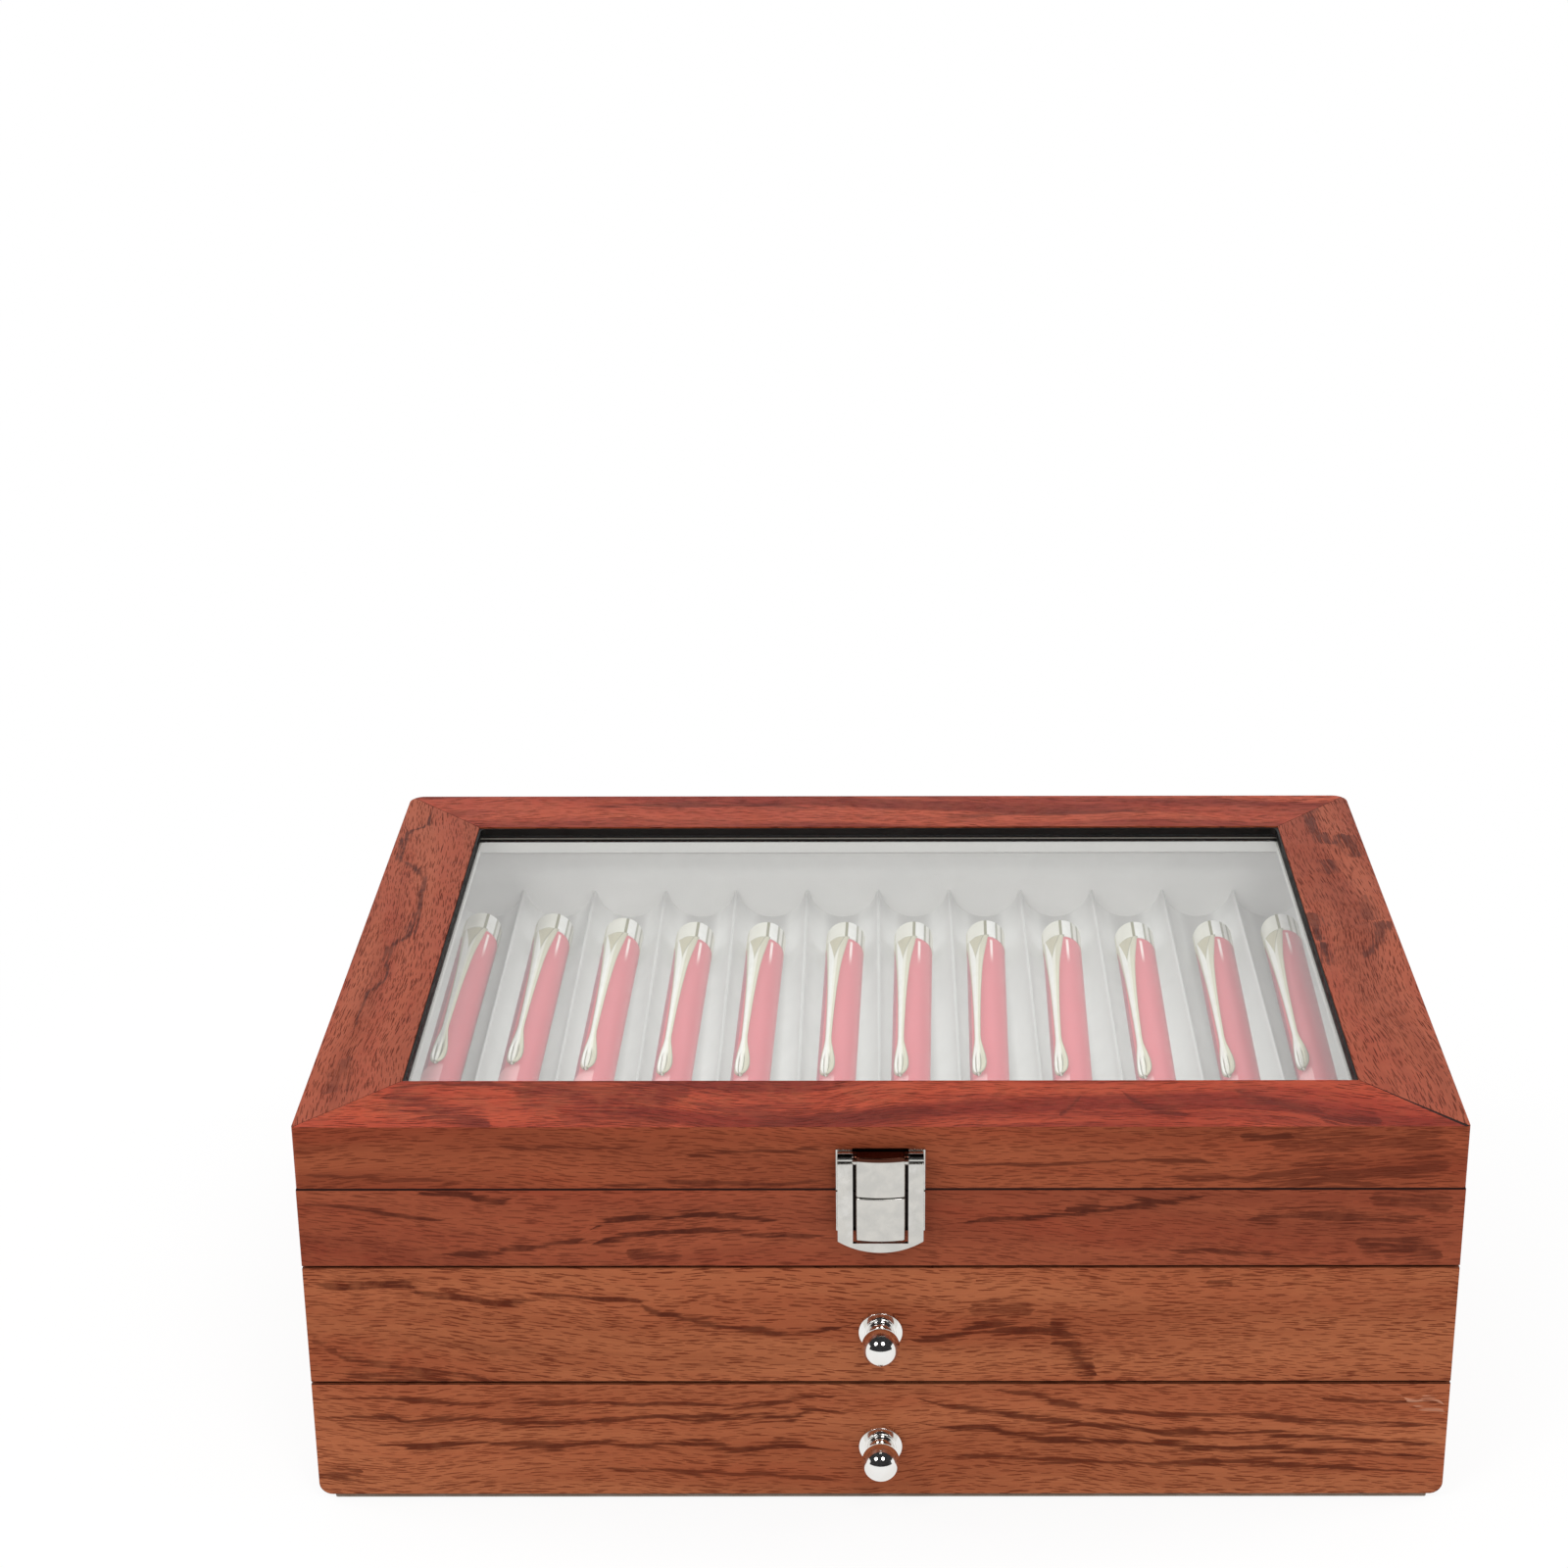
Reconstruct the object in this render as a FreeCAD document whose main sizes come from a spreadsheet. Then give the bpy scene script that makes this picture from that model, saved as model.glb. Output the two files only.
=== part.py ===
"""Pen collector chest: a veneered case with a glazed lid, a hasp latch and two drawers.

The origin is the middle of the underside, +X points to the right, +Y to the back and +Z up.
Lengths are millimetres. Every size in SIZES is a cell of the document's sheet, and every
other size and place is a formula of those cells.
"""

import FreeCAD, Part

import math
import os
from types import SimpleNamespace

import Sketcher
from FreeCAD import Placement, Rotation, Vector

# The driving dimensions: name, value and meaning.
SIZES = (
    ("case_width", 340.0, "outer width of the chest"),
    ("case_depth", 245.0, "outer depth, from the drawer fronts to the back"),
    ("wall_thickness", 12.5, "side panels and back panel"),
    ("front_thickness", 12.5, "front rail and drawer fronts"),
    ("corner_radius", 5.0, "upright edges at the back"),
    ("front_corner_radius", 1.2, "upright edges at the front of the lid"),
    ("base_edge_radius", 4.0, "long lower edges of the case"),
    ("pad_thickness", 1.5, "pad under the case"),
    ("pad_inset", 4.5, "pad edge inside the sides"),
    ("pad_setback", 1.0, "pad edge inside the front and the back"),
    ("base_thickness", 4.0, "board under the lower drawer"),
    ("shelf_thickness", 4.0, "board between the drawers"),
    ("deck_thickness", 4.0, "board under the top tray"),
    ("deck_drop", 1.7, "how far the deck reaches below the front rail"),
    ("board_setback", 0.6, "shelf, deck and base edges behind the drawer fronts"),
    ("floor_gap", 0.4, "lower drawer front above the pad"),
    ("lower_front_height", 39.2, "height of the lower drawer front"),
    ("upper_front_height", 39.1, "height of the upper drawer front"),
    ("front_gap", 0.8, "gap between neighbouring fronts"),
    ("rail_height", 25.7, "height of the fixed front rail"),
    ("lining_thickness", 3.0, "boards that line the top tray"),
    ("lining_lip", 3.0, "how far the lining stands above the case"),
    ("card_thickness", 1.0, "card under the ridges of a tray"),
    ("channel_depth", 10.7, "depth of a pen channel"),
    ("channel_relief", 0.15, "how far a channel would reach into the card"),
    ("ridge_tip", 1.0, "flat crest between two channels"),
    ("top_channels", 12, "channels of the top tray"),
    ("drawer_channels", 11, "channels of a drawer's tray"),
    ("lid_height", 20.5, "height of the lid's rails"),
    ("lid_rail_width", 28.0, "width of the lid's rails seen from above"),
    ("lid_clearance", 0.5, "lid clear of the lining's lip"),
    ("recess_height", 9.2, "hollow under the lid's rails"),
    ("glass_thickness", 3.0, "glass pane"),
    ("glass_drop", 2.9, "glass below the top of the lid"),
    ("glass_rebate", 6.0, "how far the glass reaches under the rails"),
    ("glass_clearance", 0.3, "room round the edge of the glass"),
    ("gasket_thickness", 0.8, "black strip round the opening"),
    ("gasket_drop", 0.5, "strip below the top of the lid"),
    ("gasket_radius", 2.0, "inner corners of the strip"),
    ("hinge_offset", 95.0, "middle of the chest to the middle of a hinge"),
    ("hinge_length", 30.0, "length of a hinge"),
    ("leaf_width", 10.0, "hinge leaf inside the wall"),
    ("leaf_thickness", 0.9, "hinge leaf"),
    ("knuckle_radius", 2.0, "hinge barrel"),
    ("knuckle_standoff", 0.2, "barrel clear of the back"),
    ("knuckle_gap", 0.3, "gap between two knuckles"),
    ("hinge_pin_radius", 0.9, "hinge pin"),
    ("pin_clearance", 0.05, "pins in the knuckles that turn on them"),
    ("hinge_screw_radius", 0.9, "shank of a hinge screw"),
    ("hinge_screw_length", 8.0, "hinge screw"),
    ("hinge_screw_head", 1.7, "head radius of a hinge screw"),
    ("hinge_screw_offset", 9.0, "middle of the hinge to a screw"),
    ("latch_width", 26.0, "width of the hasp's plates"),
    ("latch_plate_thickness", 1.0, "hasp plates"),
    ("latch_gap", 0.15, "hasp plates clear of the seam"),
    ("latch_plate_height", 13.7, "seam to the top of the upper plate"),
    ("latch_block_height", 13.3, "seam to the top of the upper block"),
    ("keeper_height", 13.3, "seam to the bottom of the keeper"),
    ("block_width", 14.2, "raised blocks of the hasp"),
    ("block_projection", 5.7, "raised blocks in front of the chest"),
    ("latch_pin_height", 12.0, "seam to the latch pin"),
    ("latch_pin_standoff", 3.2, "front of the chest to the latch pin"),
    ("latch_pin_radius", 0.65, "latch pin"),
    ("curl_radius", 1.95, "curls round the latch pin"),
    ("curl_gap", 0.15, "gap between a curl and its boss"),
    ("boss_length", 0.85, "bosses beside the upper block"),
    ("flap_width", 24.9, "latch flap"),
    ("flap_leg", 4.4, "width of a leg of the flap"),
    ("flap_thickness", 1.2, "latch flap"),
    ("flap_setback", 0.1, "flap behind the front of the blocks"),
    ("flap_leg_drop", 0.6, "top of a leg below the latch pin"),
    ("flap_catch_gap", 1.5, "bar of the flap below the keeper"),
    ("flap_bar", 3.1, "height of the flap's bar in the middle"),
    ("flap_arch", 3.8, "rise of the flap's lower edge towards its sides"),
    ("latch_screw_radius", 0.9, "shank of a latch screw"),
    ("latch_screw_length", 9.0, "latch screw"),
    ("latch_screw_head", 1.7, "head radius of a latch screw"),
    ("latch_screw_offset", 10.2, "middle of the latch to a screw"),
    ("latch_screw_height", 6.5, "seam to a latch screw"),
    ("bay_side_gap", 0.6, "drawer clear of each side panel"),
    ("bay_back_gap", 1.5, "closed drawer clear of the back panel"),
    ("run_gap", 0.3, "drawer above the board that it slides on"),
    ("head_gap", 1.0, "drawer below the board above it"),
    ("drawer_side_thickness", 9.0, "sides and back of a drawer"),
    ("drawer_bottom_thickness", 3.0, "bottom of a drawer"),
    ("knob_height", 18.0, "lower edge of a drawer front to its knob"),
    ("flange_radius", 6.5, "flange of a knob"),
    ("flange_thickness", 1.6, "flange of a knob"),
    ("flange_round", 0.6, "rounded rim of the flange"),
    ("collar_radius", 4.1, "collar of a knob"),
    ("collar_end", 3.5, "drawer front to the end of the collar"),
    ("neck_radius", 2.4, "neck of a knob"),
    ("ball_radius", 5.45, "ball of a knob"),
    ("ball_distance", 10.5, "drawer front to the middle of the ball"),
    ("knob_screw_radius", 1.5, "shank of a knob's screw"),
    ("knob_screw_reach", 6.0, "screw inside the knob"),
    ("knob_bore_depth", 7.0, "threaded bore of the knob"),
    ("screw_head_radius", 3.0, "head of a knob's screw"),
    ("screw_head_height", 2.0, "head of a knob's screw"),
    ("counterbore_depth", 2.6, "recess for the screw head"),
    ("counterbore_clearance", 0.6, "recess wider than the screw head"),
    ("screw_clearance", 0.2, "hole wider than the screw"),
    ("pen_cap_radius", 6.8, "silver end of a pen"),
    ("pen_cap_length", 13.5, "silver end of a pen"),
    ("pen_barrel_radius", 6.6, "barrel at the cap"),
    ("pen_nib_radius", 6.1, "barrel at the other end"),
    ("pen_length", 176.0, "barrel and cap without the point"),
    ("pen_point_length", 8.0, "tapered end of the barrel"),
    ("pen_point_radius", 2.2, "end of the taper"),
    ("pen_rest_gap", 0.05, "cap above the card"),
    ("pen_front_gap", 0.5, "front lining to the foremost pen"),
    ("clip_length", 117.0, "clip of a pen"),
    ("clip_root_width", 6.4, "clip at the cap"),
    ("clip_stem_width", 2.2, "clip along the barrel"),
    ("clip_taper_length", 60.0, "stretch where the clip narrows"),
    ("clip_end_radius", 2.6, "rounded end of the clip"),
    ("clip_thickness", 1.0, "clip of a pen"),
    ("clip_standoff", 0.3, "clip clear of the barrel"),
    ("clip_foot_length", 9.0, "foot that joins the clip to the cap"),
    ("clip_turn", 26.0, "turn of the clip about the pen, in degrees"),
)

# The share of a channel's free length that lies behind each pen, from left to right.
PEN_SHARES = (0.73, 0.75, 0.87, 0.98, 0.99, 0.99, 0.98, 0.95, 0.95, 1.0, 0.96, 0.78)

SIDES = (-1, 1)

doc = FreeCAD.newDocument("PenChest")
nodes = {}


class Size:
    """A number together with the sheet formula that gives it."""

    def __init__(self, number, formula):
        self.number = number
        self.formula = formula

    @classmethod
    def of(cls, value):
        """The value as a Size, whether it is one already or a plain number."""
        return value if isinstance(value, cls) else cls(float(value), repr(float(value)))

    def _with(self, other, sign, number):
        return Size(number, f"({self.formula} {sign} {Size.of(other).formula})")

    def __add__(self, other):
        return self._with(other, "+", self.number + Size.of(other).number)

    def __sub__(self, other):
        return self._with(other, "-", self.number - Size.of(other).number)

    def __mul__(self, other):
        return self._with(other, "*", self.number * Size.of(other).number)

    def __truediv__(self, other):
        return self._with(other, "/", self.number / Size.of(other).number)

    def __radd__(self, other):
        return Size.of(other) + self

    def __rsub__(self, other):
        return Size.of(other) - self

    def __rmul__(self, other):
        return Size.of(other) * self

    def __neg__(self):
        return -1 * self

    def root(self):
        """The square root."""
        return Size(math.sqrt(self.number), f"sqrt({self.formula})")


def make_sheet():
    """Write SIZES to the document's sheet and return them as named Size values."""
    sheet = doc.addObject("Spreadsheet::Sheet", "Sizes")
    for row, (name, value, meaning) in enumerate(SIZES, start=1):
        sheet.set(f"A{row}", meaning)
        sheet.set(f"B{row}", str(value))
        sheet.setAlias(f"B{row}", name)
    doc.recompute()
    return SimpleNamespace(**{name: Size(sheet.get(name), f"Sizes.{name}") for name, _, _ in SIZES})


def bind(obj, **formulas):
    """Bind properties of obj to sizes; a double underscore in a name stands for a dot."""
    for name, size in formulas.items():
        obj.setExpression(name.replace("__", "."), Size.of(size).formula)


def place(obj, x, y, z):
    """Bind the place of obj."""
    bind(obj, Placement__Base__x=x, Placement__Base__y=y, Placement__Base__z=z)


def node(label, obj):
    """Keep obj as the sub-part called label."""
    obj.Label = label
    nodes[label] = obj
    return obj


# ---------------------------------------------------------------------------
# Shapes that several sub-parts share
# ---------------------------------------------------------------------------

X_AXIS = Vector(1, 0, 0)
Y_AXIS = Vector(0, 1, 0)

# Turns the Z axis of a primitive to X or to Y.
TURN = {
    "x": Rotation(Y_AXIS, 90),
    "y": Rotation(X_AXIS, -90),
    "z": Rotation(),
}


def box(name, x, y, z):
    """Box that spans the (low, high) pairs x, y and z."""
    made = doc.addObject("Part::Box", name)
    bind(made, Length=x[1] - x[0], Width=y[1] - y[0], Height=z[1] - z[0])
    place(made, x[0], y[0], z[0])
    return made


def rod(name, axis, start, radius, length):
    """Cylinder along an axis, from the point start."""
    made = doc.addObject("Part::Cylinder", name)
    made.Placement = Placement(Vector(), TURN[axis])
    bind(made, Radius=radius, Height=length)
    place(made, *start)
    return made


def cone(name, axis, start, radius, end_radius, length):
    """Cone along an axis, from the point start."""
    made = doc.addObject("Part::Cone", name)
    made.Placement = Placement(Vector(), TURN[axis])
    bind(made, Radius1=radius, Radius2=end_radius, Height=length)
    place(made, *start)
    return made


def fuse(name, shapes):
    """Union of several shapes."""
    made = doc.addObject("Part::MultiFuse", name)
    made.Shapes = shapes
    return made


def cut(name, base, *tools):
    """The base with the tools taken away."""
    made = doc.addObject("Part::Cut", name)
    made.Base = base
    made.Tool = tools[0] if len(tools) == 1 else fuse(name + "_tools", list(tools))
    return made


def common(name, first, second):
    """What two shapes share."""
    made = doc.addObject("Part::Common", name)
    made.Base = first
    made.Tool = second
    return made


def copies(name, master, places, axis=None, turn=None):
    """Links to the master, turned about an axis and moved from where it lies by each place."""
    links = []
    for number, spot in enumerate(places, start=1):
        link = doc.addObject("App::Link", f"{name}_{number}")
        link.LinkedObject = master
        link.LinkTransform = True
        if axis is not None:
            link.Placement = Placement(Vector(), Rotation(axis, Size.of(turn).number))
            bind(link, Placement__Rotation__Angle=turn)
        place(link, *spot)
        links.append(link)
    return links


def group(name, shapes):
    """Separate solids kept together as one sub-part."""
    made = doc.addObject("Part::Compound", name)
    made.Links = shapes
    return made


def sketch_on(body, plane, level, name):
    """Empty sketch on an origin plane of the body, moved along the plane's normal to level."""
    sketch = body.newObject("Sketcher::SketchObject", name)
    support = next(item for item in body.Origin.OriginFeatures if item.Role == plane)
    sketch.AttachmentSupport = (support, [""])
    sketch.MapMode = "FlatFace"
    bind(sketch, AttachmentOffset__Base__z=-level if plane == "XZ_Plane" else level)
    return sketch


def arc_between(start, end, radius, turn):
    """Arc of a circle from start to end, counterclockwise for turn 1 and clockwise for -1."""
    if turn < 0:
        start, end = end, start
    chord = end - start
    rise = math.sqrt(max(radius ** 2 - chord.Length ** 2 / 4, 0.0))
    normal = Vector(-chord.y, chord.x, 0) / chord.Length
    centre = (start + end) / 2 + normal * rise
    angles = [math.atan2(point.y - centre.y, point.x - centre.x) for point in (start, end)]
    return Part.ArcOfCircle(Part.Circle(centre, Vector(0, 0, 1), radius), *angles)


def draw_outline(sketch, corners):
    """Draw a closed outline and bind it to the sheet.

    Each corner is (x, y) where a straight edge follows, or (x, y, radius, turn) where an arc
    follows that is counterclockwise for turn 1 and clockwise for turn -1.
    """
    points = [Vector(Size.of(corner[0]).number, Size.of(corner[1]).number, 0) for corner in corners]
    count = len(corners)
    starts = []
    ends = []
    arcs = []
    for index, corner in enumerate(corners):
        start = points[index]
        end = points[(index + 1) % count]
        if len(corner) == 2:
            edge = sketch.addGeometry(Part.LineSegment(start, end), False)
            starts.append((edge, 1))
            ends.append((edge, 2))
        else:
            turn = corner[3]
            edge = sketch.addGeometry(arc_between(start, end, corner[2].number, turn), False)
            arcs.append((edge, corner[2]))
            starts.append((edge, 1 if turn > 0 else 2))
            ends.append((edge, 2 if turn > 0 else 1))
    for index in range(count):
        sketch.addConstraint(Sketcher.Constraint("Coincident", *ends[index - 1], *starts[index]))
    for index, corner in enumerate(corners):
        for kind, size in (("DistanceX", corner[0]), ("DistanceY", corner[1])):
            size = Size.of(size)
            made = sketch.addConstraint(Sketcher.Constraint(kind, -1, 1, *starts[index], size.number))
            sketch.setExpression(f"Constraints[{made}]", size.formula)
    for edge, radius in arcs:
        made = sketch.addConstraint(Sketcher.Constraint("Radius", edge, radius.number))
        sketch.setExpression(f"Constraints[{made}]", radius.formula)
    return sketch


def rectangle(x, y):
    """Corners of a rectangle that spans the (low, high) pairs x and y."""
    return [(x[0], y[0]), (x[1], y[0]), (x[1], y[1]), (x[0], y[1])]


def rounded_rectangle(x, y, radius):
    """Corners of a rectangle with all its corners rounded."""
    return [
        (x[0] + radius, y[0]),
        (x[1] - radius, y[0], radius, 1),
        (x[1], y[0] + radius),
        (x[1], y[1] - radius, radius, 1),
        (x[1] - radius, y[1]),
        (x[0] + radius, y[1], radius, 1),
        (x[0], y[1] - radius),
        (x[0], y[0] + radius, radius, 1),
    ]


def pad(body, sketch, length, back=False):
    """Pad a sketch along its plane's normal, or the other way with back."""
    feature = body.newObject("PartDesign::Pad", sketch.Name + "_pad")
    feature.Profile = sketch
    feature.Reversed = back
    bind(feature, Length=length)
    sketch.Visibility = False
    return feature


def pocket(body, sketch, depth, back=False):
    """Pocket a sketch against its plane's normal, or along it with back."""
    doc.recompute()
    before = body.Shape.Volume
    feature = body.newObject("PartDesign::Pocket", sketch.Name + "_pocket")
    feature.Profile = sketch
    feature.Reversed = back
    bind(feature, Length=depth)
    sketch.Visibility = False
    doc.recompute()
    if body.Shape.Volume >= before:
        raise RuntimeError(f"{feature.Name} of {body.Name} takes nothing away")
    return feature


def prism(name, plane, level, corners, length, back=False):
    """Body with one padded outline."""
    body = doc.addObject("PartDesign::Body", name)
    pad(body, draw_outline(sketch_on(body, plane, level, name + "_outline"), corners), length, back)
    return body


def screw(name, axis, shank_radius, length, head_radius, head_height):
    """Countersunk screw with the top of its head at the origin, driven along the axis."""
    head = cone(name + "_head", axis, (0, 0, 0), head_radius, shank_radius, head_height)
    shank = rod(name + "_shank", axis, (0, 0, 0), shank_radius, length)
    return fuse(name, [head, shank])


# ---------------------------------------------------------------------------
# Places that follow from the sizes
# ---------------------------------------------------------------------------

s = make_sheet()

right = s.case_width / 2
back = s.case_depth / 2
front = -back
inner_right = right - s.wall_thickness
inner_back = back - s.wall_thickness
inner_front = front + s.front_thickness
board_front = inner_front + s.board_setback

base_top = s.pad_thickness + s.base_thickness
lower_front_bottom = s.pad_thickness + s.floor_gap
lower_front_top = lower_front_bottom + s.lower_front_height
shelf_bottom = lower_front_top + (s.front_gap - s.shelf_thickness) / 2
shelf_top = shelf_bottom + s.shelf_thickness
upper_front_bottom = lower_front_top + s.front_gap
upper_front_top = upper_front_bottom + s.upper_front_height
rail_bottom = upper_front_top + s.front_gap
deck_bottom = rail_bottom - s.deck_drop
deck_top = deck_bottom + s.deck_thickness
seam = rail_bottom + s.rail_height
lid_top = seam + s.lid_height


# ---------------------------------------------------------------------------
# Hinges: leaves let into the seam, barrels behind the back
# ---------------------------------------------------------------------------

hinge_axis = back + s.knuckle_standoff + s.knuckle_radius
knuckle_length = (s.hinge_length - 2 * s.knuckle_gap) / 3
HINGE_PLACES = [(side * s.hinge_offset, 0, 0) for side in SIDES]


def hinge_screws(name, turn):
    """Screws of the leaves on one side of the seam, turned about X to point into the wood."""
    master = screw(name + "_screw", "z", s.hinge_screw_radius, s.hinge_screw_length,
                   s.hinge_screw_head, s.leaf_thickness)
    middle = back - s.leaf_width / 2
    places = [
        (hinge * s.hinge_offset + side * s.hinge_screw_offset, middle, seam)
        for hinge in SIDES
        for side in SIDES
    ]
    return group(name, copies(name + "_copy", master, places, X_AXIS, turn))


def hinge_leaf(name, low, high, knuckle_starts, bore_radius, screws):
    """Two equal leaves between the heights low and high, with knuckles from the given places."""
    ends = (-s.hinge_length / 2, s.hinge_length / 2)
    plate_end = back + s.knuckle_standoff / 2
    shapes = [box(name + "_plate", ends, (back - s.leaf_width, plate_end), (low, high))]
    for number, start in enumerate(knuckle_starts, start=1):
        span = (start, start + knuckle_length)
        shapes.append(box(f"{name}_tab_{number}", span, (plate_end, hinge_axis), (low, high)))
        shapes.append(rod(f"{name}_knuckle_{number}", "x", (start, hinge_axis, seam),
                          s.knuckle_radius, knuckle_length))
    bore = rod(name + "_bore", "x", (ends[0], hinge_axis, seam), bore_radius, s.hinge_length)
    leaf = cut(name + "_blank", fuse(name + "_shape", shapes), bore)
    pair = group(name + "_pair", copies(name + "_copy", leaf, HINGE_PLACES))
    return cut(name, pair, screws)


def hinge_mortises(name, low, high):
    """Pockets for the leaves between the heights low and high."""
    ends = (-s.hinge_length / 2, s.hinge_length / 2)
    mortise = box(name + "_mortise", ends, (back - s.leaf_width, back), (low, high))
    return group(name, copies(name + "_copy", mortise, HINGE_PLACES))


lower_screws = node("lower_hinge_screws", hinge_screws("lower_hinge_screws", 180))
upper_screws = node("upper_hinge_screws", hinge_screws("upper_hinge_screws", 0))
lower_leaf_bottom = seam - s.leaf_thickness
upper_leaf_top = seam + s.leaf_thickness
lower_mortises = hinge_mortises("lower_mortises", lower_leaf_bottom, seam)
upper_mortises = hinge_mortises("upper_mortises", seam, upper_leaf_top)
outer_knuckles = [-s.hinge_length / 2, s.hinge_length / 2 - knuckle_length]
node("lower_hinge_leaves", hinge_leaf("lower_leaves", lower_leaf_bottom, seam, outer_knuckles,
                                      s.hinge_pin_radius + s.pin_clearance, lower_screws))
node("upper_hinge_leaves", hinge_leaf("upper_leaves", seam, upper_leaf_top,
                                      [-knuckle_length / 2], s.hinge_pin_radius, upper_screws))
hinge_pin = rod("hinge_pin", "x", (-s.hinge_length / 2, hinge_axis, seam),
                s.hinge_pin_radius, s.hinge_length)
node("hinge_pins", group("hinge_pins", copies("hinge_pin_copy", hinge_pin, HINGE_PLACES)))


# ---------------------------------------------------------------------------
# Latch: plate and flap on the lid, keeper on the front rail
# ---------------------------------------------------------------------------

block_front = front - s.block_projection
plate_front = front - s.latch_plate_thickness
latch_axis = (front - s.latch_pin_standoff, seam + s.latch_pin_height)
half_plate = s.latch_width / 2
half_block = s.block_width / 2
half_flap = s.flap_width / 2
boss_end = half_block + s.boss_length
leg_inner = half_flap - s.flap_leg
keeper_bottom = seam - s.keeper_height


def latch_screws(name, height):
    """The two screws of a hasp plate, hidden behind the legs of the flap."""
    master = screw(name + "_screw", "y", s.latch_screw_radius, s.latch_screw_length,
                   s.latch_screw_head, s.latch_plate_thickness)
    places = [(side * s.latch_screw_offset, plate_front, height) for side in SIDES]
    return group(name, copies(name + "_copy", master, places))


def latch_half(name, plate_z, block_z, extras):
    """Plate with its raised block, joined to the shapes in extras."""
    plate = box(name + "_plate", (-half_plate, half_plate), (plate_front, front), plate_z)
    block = box(name + "_block", (-half_block, half_block), (block_front, plate_front), block_z)
    return fuse(name + "_shape", [plate, block] + extras)


def along_latch(name, low, high, radius):
    """Rod on the latch pin's axis between two places."""
    return rod(name, "x", (low, *latch_axis), radius, high - low)


plate_screws = node("latch_plate_screws", latch_screws("latch_plate_screws", seam + s.latch_screw_height))
keeper_screws = node("latch_keeper_screws", latch_screws("latch_keeper_screws", seam - s.latch_screw_height))

bosses = [
    along_latch("latch_boss_left", -boss_end, -half_block, s.curl_radius),
    along_latch("latch_boss_right", half_block, boss_end, s.curl_radius),
]
latch_plate_shape = latch_half("latch_plate", (seam + s.latch_gap, seam + s.latch_plate_height),
                               (seam + s.latch_gap, seam + s.latch_block_height), bosses)
node("latch_plate", cut("latch_plate_bored", latch_plate_shape,
                        along_latch("latch_plate_bore", -boss_end, boss_end, s.latch_pin_radius),
                        plate_screws))
keeper_span = (keeper_bottom, seam - s.latch_gap)
node("latch_keeper", cut("latch_keeper_drilled",
                         latch_half("latch_keeper", keeper_span, keeper_span, []), keeper_screws))
node("latch_pin", along_latch("latch_pin", -half_flap, half_flap, s.latch_pin_radius))


def latch_flap():
    """U-shaped flap: two legs that end in curls round the pin, and an arched bar."""
    leg_top = latch_axis[1] - s.flap_leg_drop
    bar_top = keeper_bottom - s.flap_catch_gap
    side_bottom = bar_top - s.flap_bar + s.flap_arch
    arch_radius = (half_flap * half_flap + s.flap_arch * s.flap_arch) / (2 * s.flap_arch)
    corners = [
        (-half_flap, side_bottom, arch_radius, 1),
        (half_flap, side_bottom),
        (half_flap, leg_top),
        (leg_inner, leg_top),
        (leg_inner, bar_top),
        (-leg_inner, bar_top),
        (-leg_inner, leg_top),
        (-half_flap, leg_top),
    ]
    flap_front = block_front + s.flap_setback
    legs = prism("flap_legs", "XZ_Plane", flap_front, corners, s.flap_thickness, back=True)
    curl_inner = boss_end + s.curl_gap
    curls = [
        along_latch("flap_curl_left", -half_flap, -curl_inner, s.curl_radius),
        along_latch("flap_curl_right", curl_inner, half_flap, s.curl_radius),
    ]
    bore = along_latch("flap_bore", -half_flap, half_flap, s.latch_pin_radius + s.pin_clearance)
    return cut("latch_flap", fuse("flap_shape", [legs] + curls), bore)


node("latch_flap", latch_flap())


# ---------------------------------------------------------------------------
# Lid: four mitred rails, gasket, glass and beads
# ---------------------------------------------------------------------------

recess_top = seam + s.recess_height
glass_top = lid_top - s.glass_drop
glass_bottom = glass_top - s.glass_thickness
lid_wall = s.wall_thickness - s.lid_clearance
rebate_line = s.lid_rail_width - s.glass_rebate
open_right = right - s.lid_rail_width
open_back = back - s.lid_rail_width


def lid_corner(side_x, side_y, along_x):
    """The inner end of a mitre, its outer end, and the rounded corner's end on an outer face.

    along_x tells whether that face runs along X, at the front or the back, or along Y.
    """
    radius = s.corner_radius if side_y > 0 else s.front_corner_radius
    lean = radius * (1 - math.sqrt(0.5))
    inner = (side_x * open_right, side_y * open_back)
    outer = (side_x * (right - lean), side_y * (back - lean))
    if along_x:
        face = (side_x * (right - radius), side_y * back)
    else:
        face = (side_x * right, side_y * (back - radius))
    return inner, outer, face, radius


def sorted_pair(first, second):
    """The two sizes with the smaller one first."""
    return (first, second) if first.number <= second.number else (second, first)


def lid_rail(name, first, second, along_x, tools):
    """Mitred rail between two corners of the lid, given counterclockwise as (x, y) signs."""
    inner_a, outer_a, face_a, radius_a = lid_corner(*first, along_x)
    inner_b, outer_b, face_b, radius_b = lid_corner(*second, along_x)
    corners = [
        inner_a,
        (*outer_a, radius_a, 1),
        face_a,
        (*face_b, radius_b, 1),
        outer_b,
        inner_b,
    ]
    body = prism(name + "_body", "XY_Plane", seam, corners, s.lid_height)
    for step, line, height in (
        ("recess", lid_wall, s.recess_height),
        ("rebate", rebate_line, s.lid_height - s.glass_drop),
    ):
        sketch = sketch_on(body, "XY_Plane", seam, f"{name}_{step}")
        beyond = s.lid_rail_width + 1
        if along_x:
            across = (first[1] * (back - line), first[1] * (back - beyond))
            span = (sorted_pair(-right, right), sorted_pair(*across))
        else:
            across = (first[0] * (right - line), first[0] * (right - beyond))
            span = (sorted_pair(*across), sorted_pair(-back, back))
        pocket(body, draw_outline(sketch, rectangle(*span)), height, back=True)
    return node(name, cut(name, body, *tools) if tools else body)


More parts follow.
